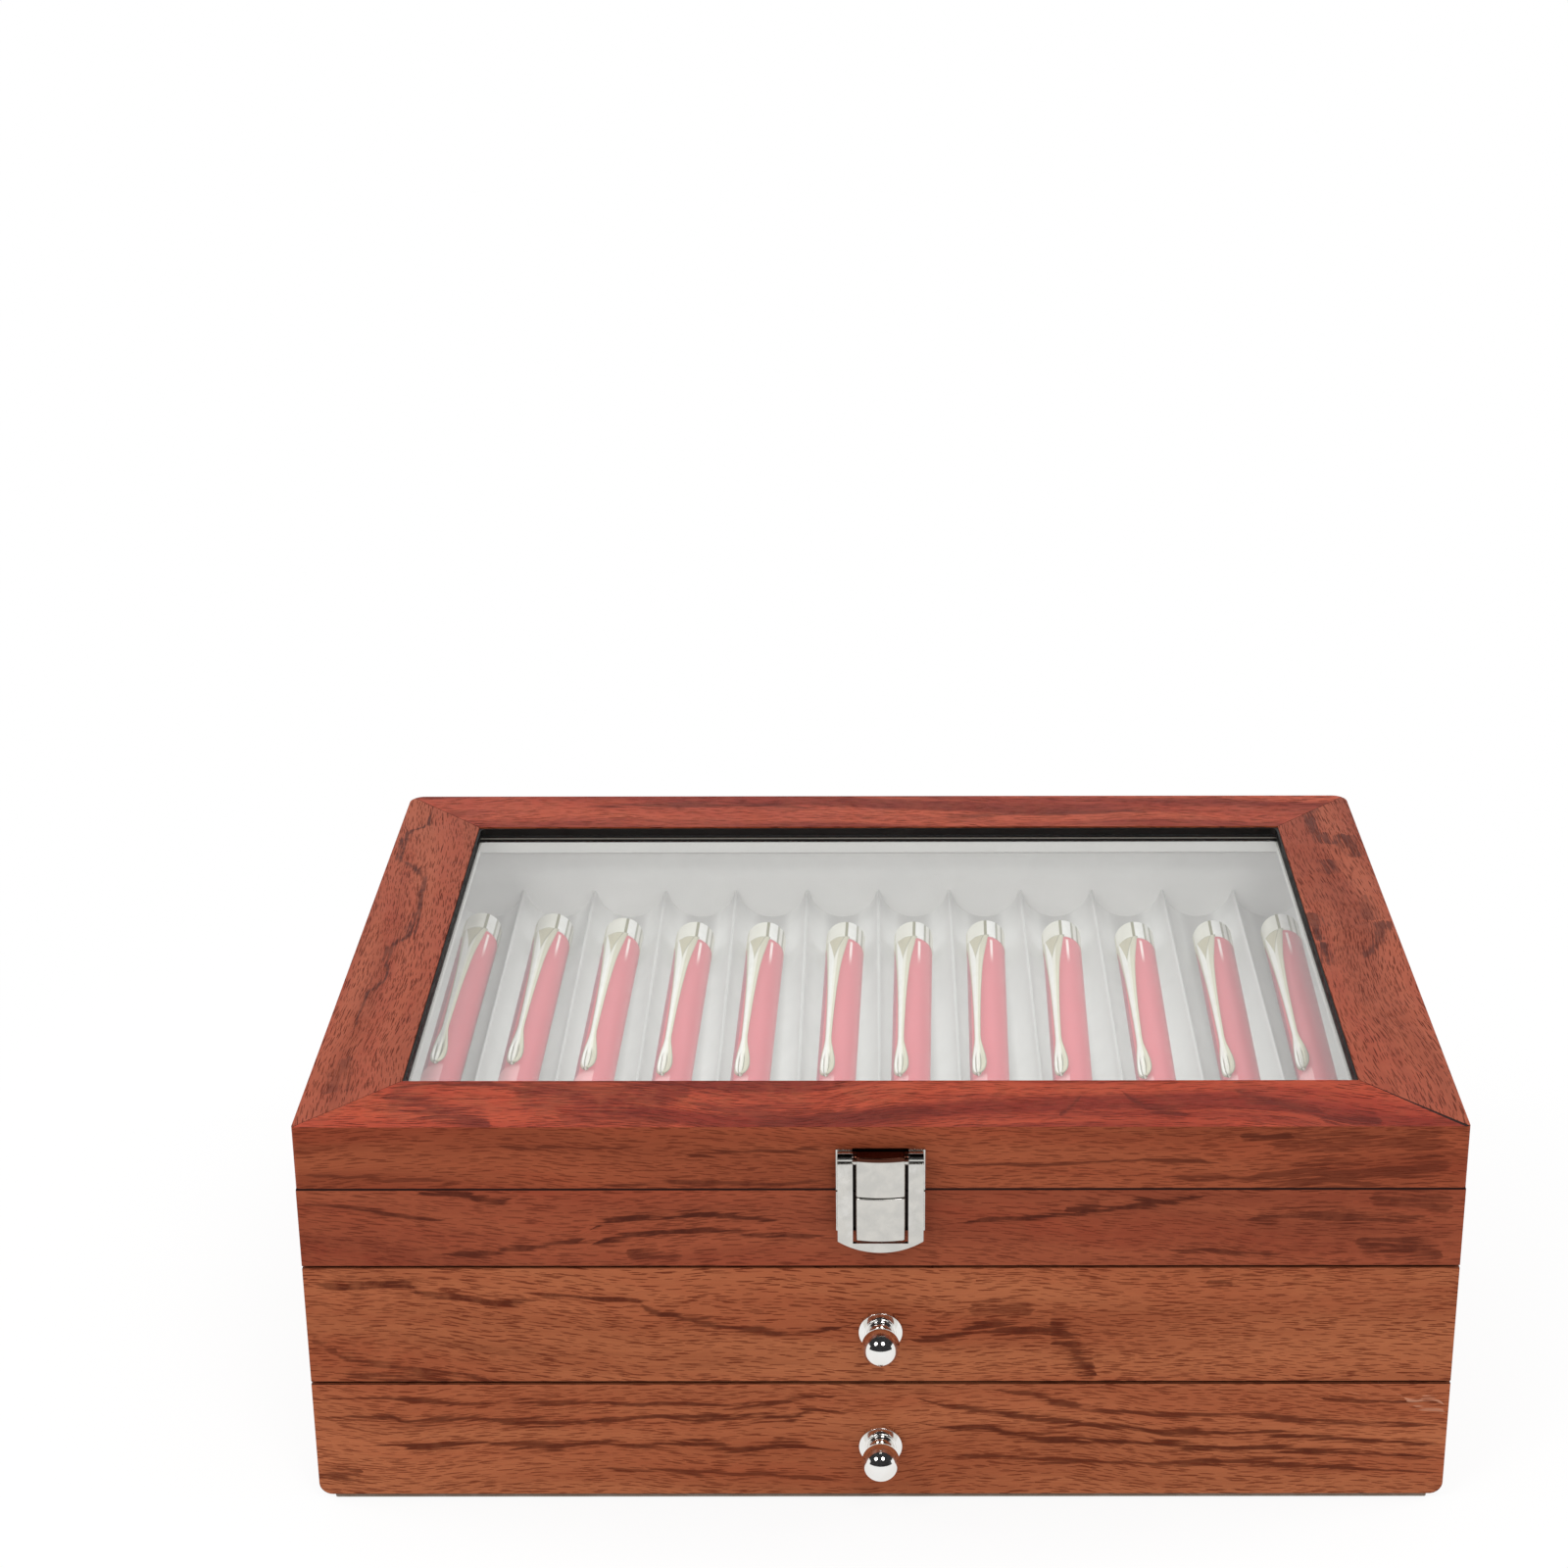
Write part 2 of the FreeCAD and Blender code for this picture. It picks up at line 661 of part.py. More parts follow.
lid_rail("lid_front_rail", (-1, -1), (1, -1), True, [plate_screws])
lid_rail("lid_right_rail", (1, -1), (1, 1), False, [])
lid_rail("lid_back_rail", (1, 1), (-1, 1), True, [upper_mortises, upper_screws])
lid_rail("lid_left_rail", (-1, 1), (-1, -1), False, [])


def window_gasket():
    """Strip round the opening, from the glass to just below the top of the lid."""
    body = prism("window_gasket", "XY_Plane", glass_top,
                 rectangle((-open_right, open_right), (-open_back, open_back)),
                 s.glass_drop - s.gasket_drop)
    inner_x = open_right - s.gasket_thickness
    inner_y = open_back - s.gasket_thickness
    sketch = sketch_on(body, "XY_Plane", glass_top, "gasket_opening")
    draw_outline(sketch, rounded_rectangle((-inner_x, inner_x), (-inner_y, inner_y), s.gasket_radius))
    pocket(body, sketch, s.glass_drop, back=True)
    return body


node("window_gasket", window_gasket())

rebate_right = right - rebate_line
rebate_back = back - rebate_line
glass_right = rebate_right - s.glass_clearance
glass_back = rebate_back - s.glass_clearance
node("glass_pane", box("glass_pane", (-glass_right, glass_right), (-glass_back, glass_back),
                       (glass_bottom, glass_top)))

bead_z = (recess_top, glass_bottom)
full_width = (-rebate_right, rebate_right)
between = (-open_back, open_back)
node("front_glass_bead", box("front_glass_bead", full_width, (-rebate_back, -open_back), bead_z))
node("back_glass_bead", box("back_glass_bead", full_width, (open_back, rebate_back), bead_z))
node("left_glass_bead", box("left_glass_bead", (-rebate_right, -open_right), between, bead_z))
node("right_glass_bead", box("right_glass_bead", (open_right, rebate_right), between, bead_z))


# ---------------------------------------------------------------------------
# Case
# ---------------------------------------------------------------------------

def side_panel(name, side):
    """Side board with a rounded lower edge and a rounded upright edge at the back."""
    low = s.pad_thickness
    edge = s.base_edge_radius
    corner = s.corner_radius
    outer = side * right
    inner = side * inner_right
    if side < 0:
        profile = [(outer, low + edge, edge, 1), (outer + edge, low), (inner, low),
                   (inner, seam), (outer, seam)]
        plan = [(outer, inner_front), (inner, inner_front), (inner, back),
                (outer + corner, back, corner, 1), (outer, back - corner)]
    else:
        profile = [(inner, low), (outer - edge, low, edge, 1), (outer, low + edge),
                   (outer, seam), (inner, seam)]
        plan = [(inner, inner_front), (outer, inner_front),
                (outer, back - corner, corner, 1), (outer - corner, back), (inner, back)]
    board = prism(name + "_board", "XZ_Plane", inner_front, profile, back - inner_front, back=True)
    outline = prism(name + "_plan", "XY_Plane", low, plan, seam - low)
    return common(name, board, outline)


node("left_side_panel", side_panel("left_side_panel", -1))
node("right_side_panel", side_panel("right_side_panel", 1))

between_sides = (-inner_right, inner_right)
board_depth = (board_front, inner_back)
back_board = box("back_board", between_sides, (inner_back, back), (s.pad_thickness, seam))
node("back_panel", cut("back_panel", back_board, lower_mortises, lower_screws))
front_board = box("front_board", (-right, right), (front, inner_front), (rail_bottom, seam))
node("top_front_rail", cut("top_front_rail", front_board, keeper_screws))
# The deck meets the front rail; the boards below it stop behind the drawer fronts.
node("tray_deck", box("tray_deck", between_sides, (inner_front, inner_back), (deck_bottom, deck_top)))
node("drawer_shelf", box("drawer_shelf", between_sides, board_depth, (shelf_bottom, shelf_top)))
node("base_panel", box("base_panel", between_sides, board_depth, (s.pad_thickness, base_top)))
pad_x = right - s.pad_inset
pad_y = back - s.pad_setback
node("base_pad", box("base_pad", (-pad_x, pad_x), (-pad_y, pad_y), (0, s.pad_thickness)))


# ---------------------------------------------------------------------------
# Corrugated pen trays
# ---------------------------------------------------------------------------

def channel_places(x, count):
    """Middles of equal channels between the (low, high) pair x."""
    pitch = (x[1] - x[0]) / count
    return [x[0] + pitch * (number + 0.5) for number in range(int(count.number))]


def pen_tray(prefix, x, y, floor, count):
    """Card with separate ridges on it, hollowed to round channels for the pens."""
    card_top = floor + s.card_thickness
    node(prefix + "_card", box(prefix + "_card", x, y, (floor, card_top)))
    half_channel = ((x[1] - x[0]) / count - s.ridge_tip) / 2
    depth = s.channel_depth + s.channel_relief
    radius = (half_channel * half_channel + depth * depth) / (2 * depth)
    channel = rod(prefix + "_channel", "y", (0, 0, 0), radius, y[1] - y[0])
    middle = card_top - s.channel_relief + radius
    places = [(centre, y[0], middle) for centre in channel_places(x, count)]
    blank = box(prefix + "_blank", x, y, (card_top, card_top + s.channel_depth))
    tools = copies(prefix + "_channel_copy", channel, places)
    node(prefix + "_ridges", cut(prefix + "_ridges", blank, *tools))
    return card_top


lining_top = seam + s.lining_lip
lining_z = (deck_top, lining_top)
tray_right = inner_right - s.lining_thickness
tray_front = inner_front + s.lining_thickness
tray_back = inner_back - s.lining_thickness
tray_x = (-tray_right, tray_right)
tray_y = (tray_front, tray_back)
node("front_lining", box("front_lining", between_sides, (inner_front, tray_front), lining_z))
node("back_lining", box("back_lining", between_sides, (tray_back, inner_back), lining_z))
node("left_lining", box("left_lining", (-inner_right, -tray_right), tray_y, lining_z))
node("right_lining", box("right_lining", (tray_right, inner_right), tray_y, lining_z))
top_card = pen_tray("top_tray", tray_x, tray_y, deck_top, s.top_channels)


# ---------------------------------------------------------------------------
# Pens, modelled with the end of the cap at the origin and the nib towards -Y
# ---------------------------------------------------------------------------

def pen_places():
    """Where the end of each cap lies."""
    height = top_card + s.pen_rest_gap + s.pen_cap_radius
    play = tray_back - tray_front - s.pen_front_gap - s.pen_length - s.pen_point_length
    return [
        (centre, tray_back - play * share, height)
        for centre, share in zip(channel_places(tray_x, s.top_channels), PEN_SHARES)
    ]


def pen_barrel():
    """Slightly tapered barrel with a short point."""
    length = s.pen_length - s.pen_cap_length
    point_end = -s.pen_length - s.pen_point_length
    body = cone("barrel_body", "y", (0, -s.pen_length, 0), s.pen_nib_radius, s.pen_barrel_radius, length)
    point = cone("barrel_point", "y", (0, point_end, 0), s.pen_point_radius, s.pen_nib_radius,
                 s.pen_point_length)
    return fuse("pen_barrel", [body, point])


def pen_clip(cap):
    """Clip over the barrel: foot on the cap, tapering blade, stem and rounded end."""
    low = s.pen_cap_radius + s.clip_standoff
    high = low + s.clip_thickness
    half_root = s.clip_root_width / 2
    half_stem = s.clip_stem_width / 2
    taper_end = -s.clip_taper_length
    stem_end = s.clip_end_radius - s.clip_length
    blade = prism("clip_blade", "XY_Plane", low, [
        (-half_stem, stem_end),
        (half_stem, stem_end),
        (half_stem, taper_end),
        (half_root, -s.clip_foot_length),
        (half_root, -s.clip_standoff),
        (-half_root, -s.clip_standoff),
        (-half_root, -s.clip_foot_length),
        (-half_stem, taper_end),
    ], s.clip_thickness)
    end = rod("clip_end", "z", (0, stem_end, low), s.clip_end_radius, high - low)
    foot = box("clip_foot", (-half_root, half_root), (-s.clip_foot_length, -s.clip_standoff),
               (s.pen_cap_radius / 2, high))
    return cut("pen_clip", fuse("clip_shape", [blade, end, foot]), cap)


cap = rod("pen_cap", "y", (0, -s.pen_cap_length, 0), s.pen_cap_radius, s.pen_cap_length)
barrel = pen_barrel()
clip = pen_clip(cap)
node("pen_barrels", group("pen_barrels", copies("pen_barrel_copy", barrel, pen_places())))
node("pen_caps", group("pen_caps", copies("pen_cap_copy", cap, pen_places())))
node("pen_clips", group("pen_clips", copies("pen_clip_copy", clip, pen_places(), Y_AXIS, -s.clip_turn)))


# ---------------------------------------------------------------------------
# Drawers
# ---------------------------------------------------------------------------

def drawer_front(name, bottom, height, edge_radius, hole):
    """Front board, with its lower corners rounded where edge_radius is given."""
    top = bottom + height
    if edge_radius is None:
        blank = box(name + "_blank", (-right, right), (front, inner_front), (bottom, top))
    else:
        corners = [
            (-right + edge_radius, bottom),
            (right - edge_radius, bottom, edge_radius, 1),
            (right, bottom + edge_radius),
            (right, top),
            (-right, top),
            (-right, bottom + edge_radius, edge_radius, 1),
        ]
        blank = prism(name + "_blank", "XZ_Plane", front, corners, s.front_thickness, back=True)
    return cut(name, blank, *hole)


def knob(name, height):
    """Turned knob: flange, collar, neck and ball, with a threaded bore for its screw."""
    body = doc.addObject("PartDesign::Body", name)
    sketch = sketch_on(body, "XY_Plane", Size.of(0), name + "_profile")
    rim = s.flange_radius - s.flange_round
    ball_start = (s.ball_radius * s.ball_radius - s.neck_radius * s.neck_radius).root() - s.ball_distance
    draw_outline(sketch, [
        (s.knob_screw_radius, Size.of(0)),
        (s.flange_radius, Size.of(0)),
        (s.flange_radius, s.flange_round - s.flange_thickness, s.flange_round, -1),
        (rim, -s.flange_thickness),
        (s.collar_radius, -s.flange_thickness),
        (s.collar_radius, -s.collar_end),
        (s.neck_radius, -s.collar_end),
        (s.neck_radius, ball_start, s.ball_radius, -1),
        (Size.of(0), -s.ball_distance - s.ball_radius),
        (Size.of(0), -s.knob_bore_depth),
        (s.knob_screw_radius, -s.knob_bore_depth),
    ])
    turned = body.newObject("PartDesign::Revolution", name + "_turned")
    turned.Profile = sketch
    turned.ReferenceAxis = (sketch, ["V_Axis"])
    turned.Angle = 360
    place(body, 0, front, height)
    return body


def knob_screw(name, height):
    """Screw from inside the drawer into the knob."""
    seat = inner_front - s.counterbore_depth
    head = rod(name + "_head", "y", (0, seat, height), s.screw_head_radius, s.screw_head_height)
    tip = front - s.knob_screw_reach
    shank = rod(name + "_shank", "y", (0, tip, height), s.knob_screw_radius, seat - tip)
    return fuse(name, [head, shank])


def screw_hole(name, height):
    """Hole and counterbore for the knob's screw."""
    seat = inner_front - s.counterbore_depth
    return (
        rod(name + "_hole", "y", (0, front, height), s.knob_screw_radius + s.screw_clearance,
            s.front_thickness),
        rod(name + "_counterbore", "y", (0, seat, height),
            s.screw_head_radius + s.counterbore_clearance, s.counterbore_depth),
    )


def drawer(prefix, floor, ceiling, front_bottom, front_height, edge_radius):
    """Drawer box on the board at floor, under the board at ceiling, with its front and knob."""
    low = floor + s.run_gap
    high = ceiling - s.head_gap
    outer = inner_right - s.bay_side_gap
    inner = outer - s.drawer_side_thickness
    rear = inner_back - s.bay_back_gap
    rear_inner = rear - s.drawer_side_thickness
    bottom_top = low + s.drawer_bottom_thickness
    knob_z = front_bottom + s.knob_height
    inside_x = (-inner, inner)
    inside_y = (inner_front, rear_inner)
    node(prefix + "_drawer_front", drawer_front(prefix + "_drawer_front", front_bottom, front_height,
                                                edge_radius, screw_hole(prefix + "_knob", knob_z)))
    node(prefix + "_drawer_left_side",
         box(prefix + "_drawer_left_side", (-outer, -inner), (inner_front, rear), (low, high)))
    node(prefix + "_drawer_right_side",
         box(prefix + "_drawer_right_side", (inner, outer), (inner_front, rear), (low, high)))
    node(prefix + "_drawer_back",
         box(prefix + "_drawer_back", inside_x, (rear_inner, rear), (low, high)))
    node(prefix + "_drawer_bottom",
         box(prefix + "_drawer_bottom", inside_x, inside_y, (low, bottom_top)))
    pen_tray(prefix + "_drawer", inside_x, inside_y, bottom_top, s.drawer_channels)
    node(prefix + "_knob", knob(prefix + "_knob", knob_z))
    node(prefix + "_knob_screw", knob_screw(prefix + "_knob_screw", knob_z))


drawer("lower", base_top, shelf_bottom, lower_front_bottom, s.lower_front_height, s.base_edge_radius)
drawer("upper", shelf_top, deck_bottom, upper_front_bottom, s.upper_front_height, None)


# ---------------------------------------------------------------------------
# Check and export
# ---------------------------------------------------------------------------

def export_nodes():
    """Recompute the document, check every object and write one STEP file for each sub-part."""
    doc.recompute()
    for obj in doc.Objects:
        if "Invalid" in obj.State or "Error" in obj.State:
            raise RuntimeError(f"{obj.Name} failed: {obj.State}")
    os.makedirs("parts", exist_ok=True)
    for label, obj in nodes.items():
        shape = obj.Shape
        if shape.isNull() or not shape.isValid() or not shape.Solids:
            raise RuntimeError(f"{label} has no valid solid")
        shape.exportStep(os.path.join("parts", label + ".step"))
        print(f"{label:26s} {len(shape.Solids):3d} solids {shape.Volume:12.1f} mm3")
    print(len(nodes), "nodes")


export_nodes()
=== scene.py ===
"""Pen collector chest: the looks of the case, glazed lid, hasp latch, pens and two drawers.

The scene is in metres, in the frame's own axes: +X to the right, +Y to the back and +Z up. The sizes
of the pieces are named in millimetres, and MM turns them into metres.
"""

import logging
import math
from dataclasses import dataclass
from enum import Enum
from typing import Callable, Iterable

import bmesh
import bpy
from mathutils import Matrix, Vector


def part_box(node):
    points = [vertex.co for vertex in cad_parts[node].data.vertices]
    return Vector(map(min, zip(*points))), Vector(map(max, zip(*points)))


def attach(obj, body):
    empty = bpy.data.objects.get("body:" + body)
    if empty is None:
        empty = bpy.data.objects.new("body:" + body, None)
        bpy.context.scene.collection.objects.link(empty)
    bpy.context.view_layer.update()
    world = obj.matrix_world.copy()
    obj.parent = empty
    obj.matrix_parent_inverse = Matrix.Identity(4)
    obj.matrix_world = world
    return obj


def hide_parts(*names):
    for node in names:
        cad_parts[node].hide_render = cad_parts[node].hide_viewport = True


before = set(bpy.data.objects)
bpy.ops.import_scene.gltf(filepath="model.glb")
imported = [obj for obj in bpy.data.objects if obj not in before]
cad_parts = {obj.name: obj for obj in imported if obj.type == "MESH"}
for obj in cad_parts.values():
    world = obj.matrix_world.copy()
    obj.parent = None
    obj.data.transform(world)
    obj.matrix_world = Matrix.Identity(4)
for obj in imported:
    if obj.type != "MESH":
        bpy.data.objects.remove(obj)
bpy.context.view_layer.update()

MM = 0.001
FRONT_FACE = -122.5  # Front of the wood, from the chest's middle.
LID_SEAM = 107.5  # Height of the seam under the lid.
CLIP_START = 12.6  # Where a pen's clip leaves its band, from the band's end.
FOLD_LENGTH = 19.0  # Length of the folded facet at the clip's broad end.
FOLD_SHARE = 0.74  # Share of the clip's width that the fold takes at its start.

Socket = bpy.types.NodeSocket
Material = bpy.types.Material
Piece = bpy.types.Object
Colour = tuple[float, float, float]
Place = tuple[float, float, float]
Span = tuple[float, float]
Test = Callable[[object], bool]

log = logging.getLogger("pen_chest")


def shade(red: int, green: int, blue: int) -> Colour:
    """Turn a colour written as 0 to 255 into the linear values that shaders take.

    Args:
        red: Red of the colour as it looks on a screen.
        green: Green of the colour.
        blue: Blue of the colour.

    Returns:
        The linear red, green and blue.
    """
    def linear(part: int) -> float:
        """One part of the colour as a linear value."""
        share = part / 255
        return share / 12.92 if share <= 0.04045 else ((share + 0.055) / 1.055) ** 2.4

    return linear(red), linear(green), linear(blue)


# ---------------------------------------------------------------------------
# Node graphs
# ---------------------------------------------------------------------------


class Graph:
    """Adds nodes to one tree and links them."""

    def __init__(self, tree: bpy.types.NodeTree) -> None:
        """Work on the given tree."""
        self.tree = tree

    def node(self, kind: str, **settings: object) -> bpy.types.Node:
        """Add a node and set its properties.

        Args:
            kind: The node's type name.
            **settings: Properties of the node and their values.

        Returns:
            The new node.
        """
        made = self.tree.nodes.new(kind)
        for name, value in settings.items():
            setattr(made, name, value)
        return made

    def feed(self, socket: Socket, value: object) -> None:
        """Link a socket to an input, or set the input's own value."""
        if isinstance(value, Socket):
            self.tree.links.new(value, socket)
        elif socket.type == "RGBA" and len(value) == 3:
            socket.default_value = (*value, 1.0)
        else:
            socket.default_value = value

    def math(self, operation: str, *values: object, clamp: bool = False) -> Socket:
        """Add a Math node on the given values and return its result."""
        made = self.node("ShaderNodeMath", operation=operation, use_clamp=clamp)
        for socket, value in zip(made.inputs, values):
            self.feed(socket, value)
        return made.outputs[0]

    def times(self, *values: object) -> Socket:
        """Multiply two values or more."""
        product = values[0]
        for value in values[1:]:
            product = self.math("MULTIPLY", product, value)
        return product

    def plus(self, first: object, second: object) -> Socket:
        """Add two values."""
        return self.math("ADD", first, second)

    def minus(self, first: object, second: object) -> Socket:
        """Take the second value from the first."""
        return self.math("SUBTRACT", first, second)

    def line(self, value: object, slope: object, start: object) -> Socket:
        """Multiply a value by a slope and add a start to it."""
        return self.math("MULTIPLY_ADD", value, slope, start)

    def most(self, *values: object) -> Socket:
        """Take the largest of two values or more."""
        largest = values[0]
        for value in values[1:]:
            largest = self.math("MAXIMUM", largest, value)
        return largest

    def size(self, value: object) -> Socket:
        """Drop the sign of a value."""
        return self.math("ABSOLUTE", value)

    def apart(self, first: object, second: object) -> Socket:
        """Take the distance between two values."""
        return self.size(self.minus(first, second))

    def spread(self, value: object, low: float, high: float, first: float = 0.0,
               last: float = 1.0) -> Socket:
        """Map a value smoothly from the range low to high onto first to last."""
        made = self.node("ShaderNodeMapRange", interpolation_type="SMOOTHSTEP")
        for socket, item in zip(made.inputs, (value, low, high, first, last)):
            self.feed(socket, item)
        return made.outputs[0]

    def between(self, value: object, low: float, high: float, first: float = 0.0,
                last: float = 1.0) -> Socket:
        """Map a value in metres smoothly from a range in millimetres onto first to last."""
        return self.spread(value, low * MM, high * MM, first, last)

    def mix(self, share: object, first: object, second: object, blend: str = "MIX") -> Socket:
        """Mix two colours and return the result."""
        made = self.node("ShaderNodeMix", data_type="RGBA", blend_type=blend)
        for index, item in ((0, share), (6, first), (7, second)):
            self.feed(made.inputs[index], item)
        return made.outputs[2]

    def dim(self, colour: Socket, level: Socket) -> Socket:
        """Multiply a colour by one value."""
        return self.mix(1.0, colour, self.vector(level, level, level), "MULTIPLY")

    def blend(self, share: object, first: Socket, second: Socket, output: str) -> None:
        """Mix two shaders into the named output node of the tree."""
        both = self.node("ShaderNodeMixShader")
        for socket, value in zip(both.inputs, (share, first, second)):
            self.feed(socket, value)
        self.feed(self.tree.nodes[output].inputs["Surface"], both.outputs[0])

    def seen(self) -> Socket:
        """Mask of the rays that show a surface, straight, mirrored or through the glass."""
        rays = self.rays()
        return self.most(rays["Is Camera Ray"], self.most(rays["Is Glossy Ray"], rays["Is Transmission Ray"]))

    def soft(self) -> Socket:
        """Mask of the rays that only carry light and shadow."""
        rays = self.rays()
        return self.most(rays["Is Shadow Ray"], rays["Is Diffuse Ray"])

    def rays(self) -> bpy.types.NodeOutputs:
        """What kind of ray is looking, as masks."""
        return self.node("ShaderNodeLightPath").outputs

    def vector(self, x: object, y: object, z: object) -> Socket:
        """Combine three values into a vector."""
        made = self.node("ShaderNodeCombineXYZ")
        for socket, item in zip(made.inputs, (x, y, z)):
            self.feed(socket, item)
        return made.outputs[0]

    def split(self, vector: Socket) -> list[Socket]:
        """Split a vector into its three values."""
        made = self.node("ShaderNodeSeparateXYZ")
        self.feed(made.inputs[0], vector)
        return list(made.outputs)

    def stretch(self, vector: Socket, factors: Place) -> Socket:
        """Multiply the parts of a vector by three factors."""
        made = self.node("ShaderNodeVectorMath", operation="MULTIPLY")
        self.feed(made.inputs[0], vector)
        self.feed(made.inputs[1], factors)
        return made.outputs[0]

    def noise(self, vector: Socket, scale: float, detail: float = 2.0, rough: float = 0.5,
              distortion: float = 0.0) -> Socket:
        """Add a Noise texture and return its value."""
        made = self.node("ShaderNodeTexNoise", noise_dimensions="3D")
        for name, item in (("Vector", vector), ("Scale", scale), ("Detail", detail),
                           ("Roughness", rough), ("Distortion", distortion)):
            self.feed(made.inputs[name], item)
        return made.outputs["Fac"]

    def streaky(self, vector: Socket, factors: Place, *shape: float) -> Socket:
        """Noise stretched by three factors; shape is its detail, roughness and distortion."""
        return self.noise(self.stretch(vector, factors), 1.0, *shape)

    def cells(self, vector: Socket) -> tuple[Socket, Socket]:
        """Add a flat Voronoi texture and return the distance to its cells and their colour."""
        made = self.node("ShaderNodeTexVoronoi", feature="F1", voronoi_dimensions="2D")
        self.feed(made.inputs["Vector"], vector)
        self.feed(made.inputs["Scale"], 1.0)
        return made.outputs["Distance"], made.outputs["Color"]

    def place(self) -> Socket:
        """Object coordinates, which are the frame's own axes on every piece."""
        return self.node("ShaderNodeTexCoord").outputs["Object"]

    def facing(self, kind: str = "True Normal") -> list[Socket]:
        """Which way the surface faces in the piece's own axes, as X, Y and Z."""
        turned = self.node("ShaderNodeVectorTransform", vector_type="NORMAL",
                           convert_from="WORLD", convert_to="OBJECT")
        self.feed(turned.inputs[0], self.node("ShaderNodeNewGeometry").outputs[kind])
        return self.split(turned.outputs[0])

    def pattern(self, tree: bpy.types.NodeTree, **values: object) -> bpy.types.NodeOutputs:
        """Place a pattern group and return its outputs; an underscore stands for a blank."""
        made = self.node("ShaderNodeGroup", node_tree=tree)
        for name, value in values.items():
            self.feed(made.inputs[name.replace("_", " ")], value)
        return made.outputs

    def bump(self, height: Socket, depth: float, strength: float) -> Socket:
        """Add a Bump node of the given depth in metres and return its normal."""
        made = self.node("ShaderNodeBump")
        for name, item in (("Strength", strength), ("Distance", depth), ("Height", height)):
            self.feed(made.inputs[name], item)
        return made.outputs["Normal"]


class PatternGroup:
    """One node group while it is being built."""

    def __init__(self, name: str, inputs: dict[str, object], outputs: Iterable[str]) -> None:
        """Make the group with its sockets.

        Args:
            name: The group's name.
            inputs: Input names with their defaults; None makes a vector input.
            outputs: Names of the value outputs.
        """
        self.tree = bpy.data.node_groups.new(name, "ShaderNodeTree")
        for label, default in inputs.items():
            kind = "NodeSocketVector" if default is None else "NodeSocketFloat"
            socket = self.tree.interface.new_socket(name=label, in_out="INPUT", socket_type=kind)
            if default is not None:
                socket.default_value = default
        for label in outputs:
            self.tree.interface.new_socket(name=label, in_out="OUTPUT", socket_type="NodeSocketFloat")
        self.graph = Graph(self.tree)
        self.given = self.graph.node("NodeGroupInput").outputs
        self.result = self.graph.node("NodeGroupOutput").inputs

    def give(self, **results: Socket) -> bpy.types.NodeTree:
        """Feed the outputs and return the finished group."""
        for name, value in results.items():
            self.graph.feed(self.result[name], value)
        return self.tree


SLANT = 6.0  # How far the fibres and pores of a veneer lean along the board, for each step across it.


def build_veneer_figure() -> bpy.types.NodeTree:
    """Grain of the veneer: broad tone, fibres, frayed dark streaks and short pores.

    Returns:
        A group that takes a place whose X runs along the grain.
    """
    group = PatternGroup("veneer_figure", {
        "Place": None, "Figure": 0.0, "Wave": 1.0, "Streaks": 1.0, "Pores": 1.0,
    }, ("Tone", "Fibre", "Streak", "Pore", "Blush", "Along", "Level"))
    graph = group.graph
    given = group.given
    along, across, depth = graph.split(given["Place"])
    x = graph.line(given["Figure"], 0.731, along)
    y = graph.plus(graph.line(given["Figure"], 0.217, across),
                   graph.times(depth, 0.8))
    flat = graph.vector(x, y, graph.times(given["Figure"], 0.113))
    sway = graph.minus(graph.streaky(flat, (8.0, 9.0, 9.0), 1.5), 0.5)
    ripple = graph.minus(graph.streaky(flat, (34.0, 16.0, 16.0), 1.0), 0.5)
    bend = graph.times(given["Wave"], graph.plus(graph.times(sway, 0.026), graph.times(ripple, 0.0030)))
    level = graph.plus(y, bend)
    slanted = graph.line(level, SLANT, x)
    bent = graph.vector(slanted, level, 0.0)
    tone = graph.streaky(bent, (6.0, 70.0, 1.0), 3.0, 0.5)
    fibre = graph.streaky(bent, (90.0, 2300.0, 1.0), 3.0, 0.65)
    strand = graph.streaky(bent, (24.0, 620.0, 1.0), 3.0, 0.6)
    band = graph.streaky(bent, (4.5, 105.0, 1.0), 2.5, 0.5)
    streak = graph.times(graph.spread(band, 0.58, 0.74), graph.spread(strand, 0.36, 0.64))
    crowd = graph.streaky(bent, (9.0, 60.0, 1.0), 2.0)
    pore: Socket | float = 0.0
    for length, width, rare in ((105.0, 1350.0, 0.86), (190.0, 1900.0, 0.92)):
        gap, colour = graph.cells(graph.stretch(bent, (length, width, 1.0)))
        luck, size, _ = graph.split(colour)
        reach = graph.line(size, 0.20, 0.18)
        dash = graph.spread(graph.math("DIVIDE", gap, reach), 0.75, 1.0, 1.0, 0.0)
        chosen = graph.spread(graph.plus(luck, crowd), rare, rare + 0.12)
        pore = graph.most(pore, graph.times(dash, chosen))
    blush = graph.spread(graph.streaky(bent, (9.0, 34.0, 1.0), 3.0), 0.40, 0.70)
    return group.give(
        Tone=graph.spread(tone, 0.25, 0.75), Fibre=graph.spread(fibre, 0.22, 0.78),
        Streak=graph.math("MULTIPLY", streak, given["Streaks"], clamp=True),
        Pore=graph.math("MULTIPLY", pore, given["Pores"], clamp=True),
        Blush=blush, Along=slanted, Level=level)


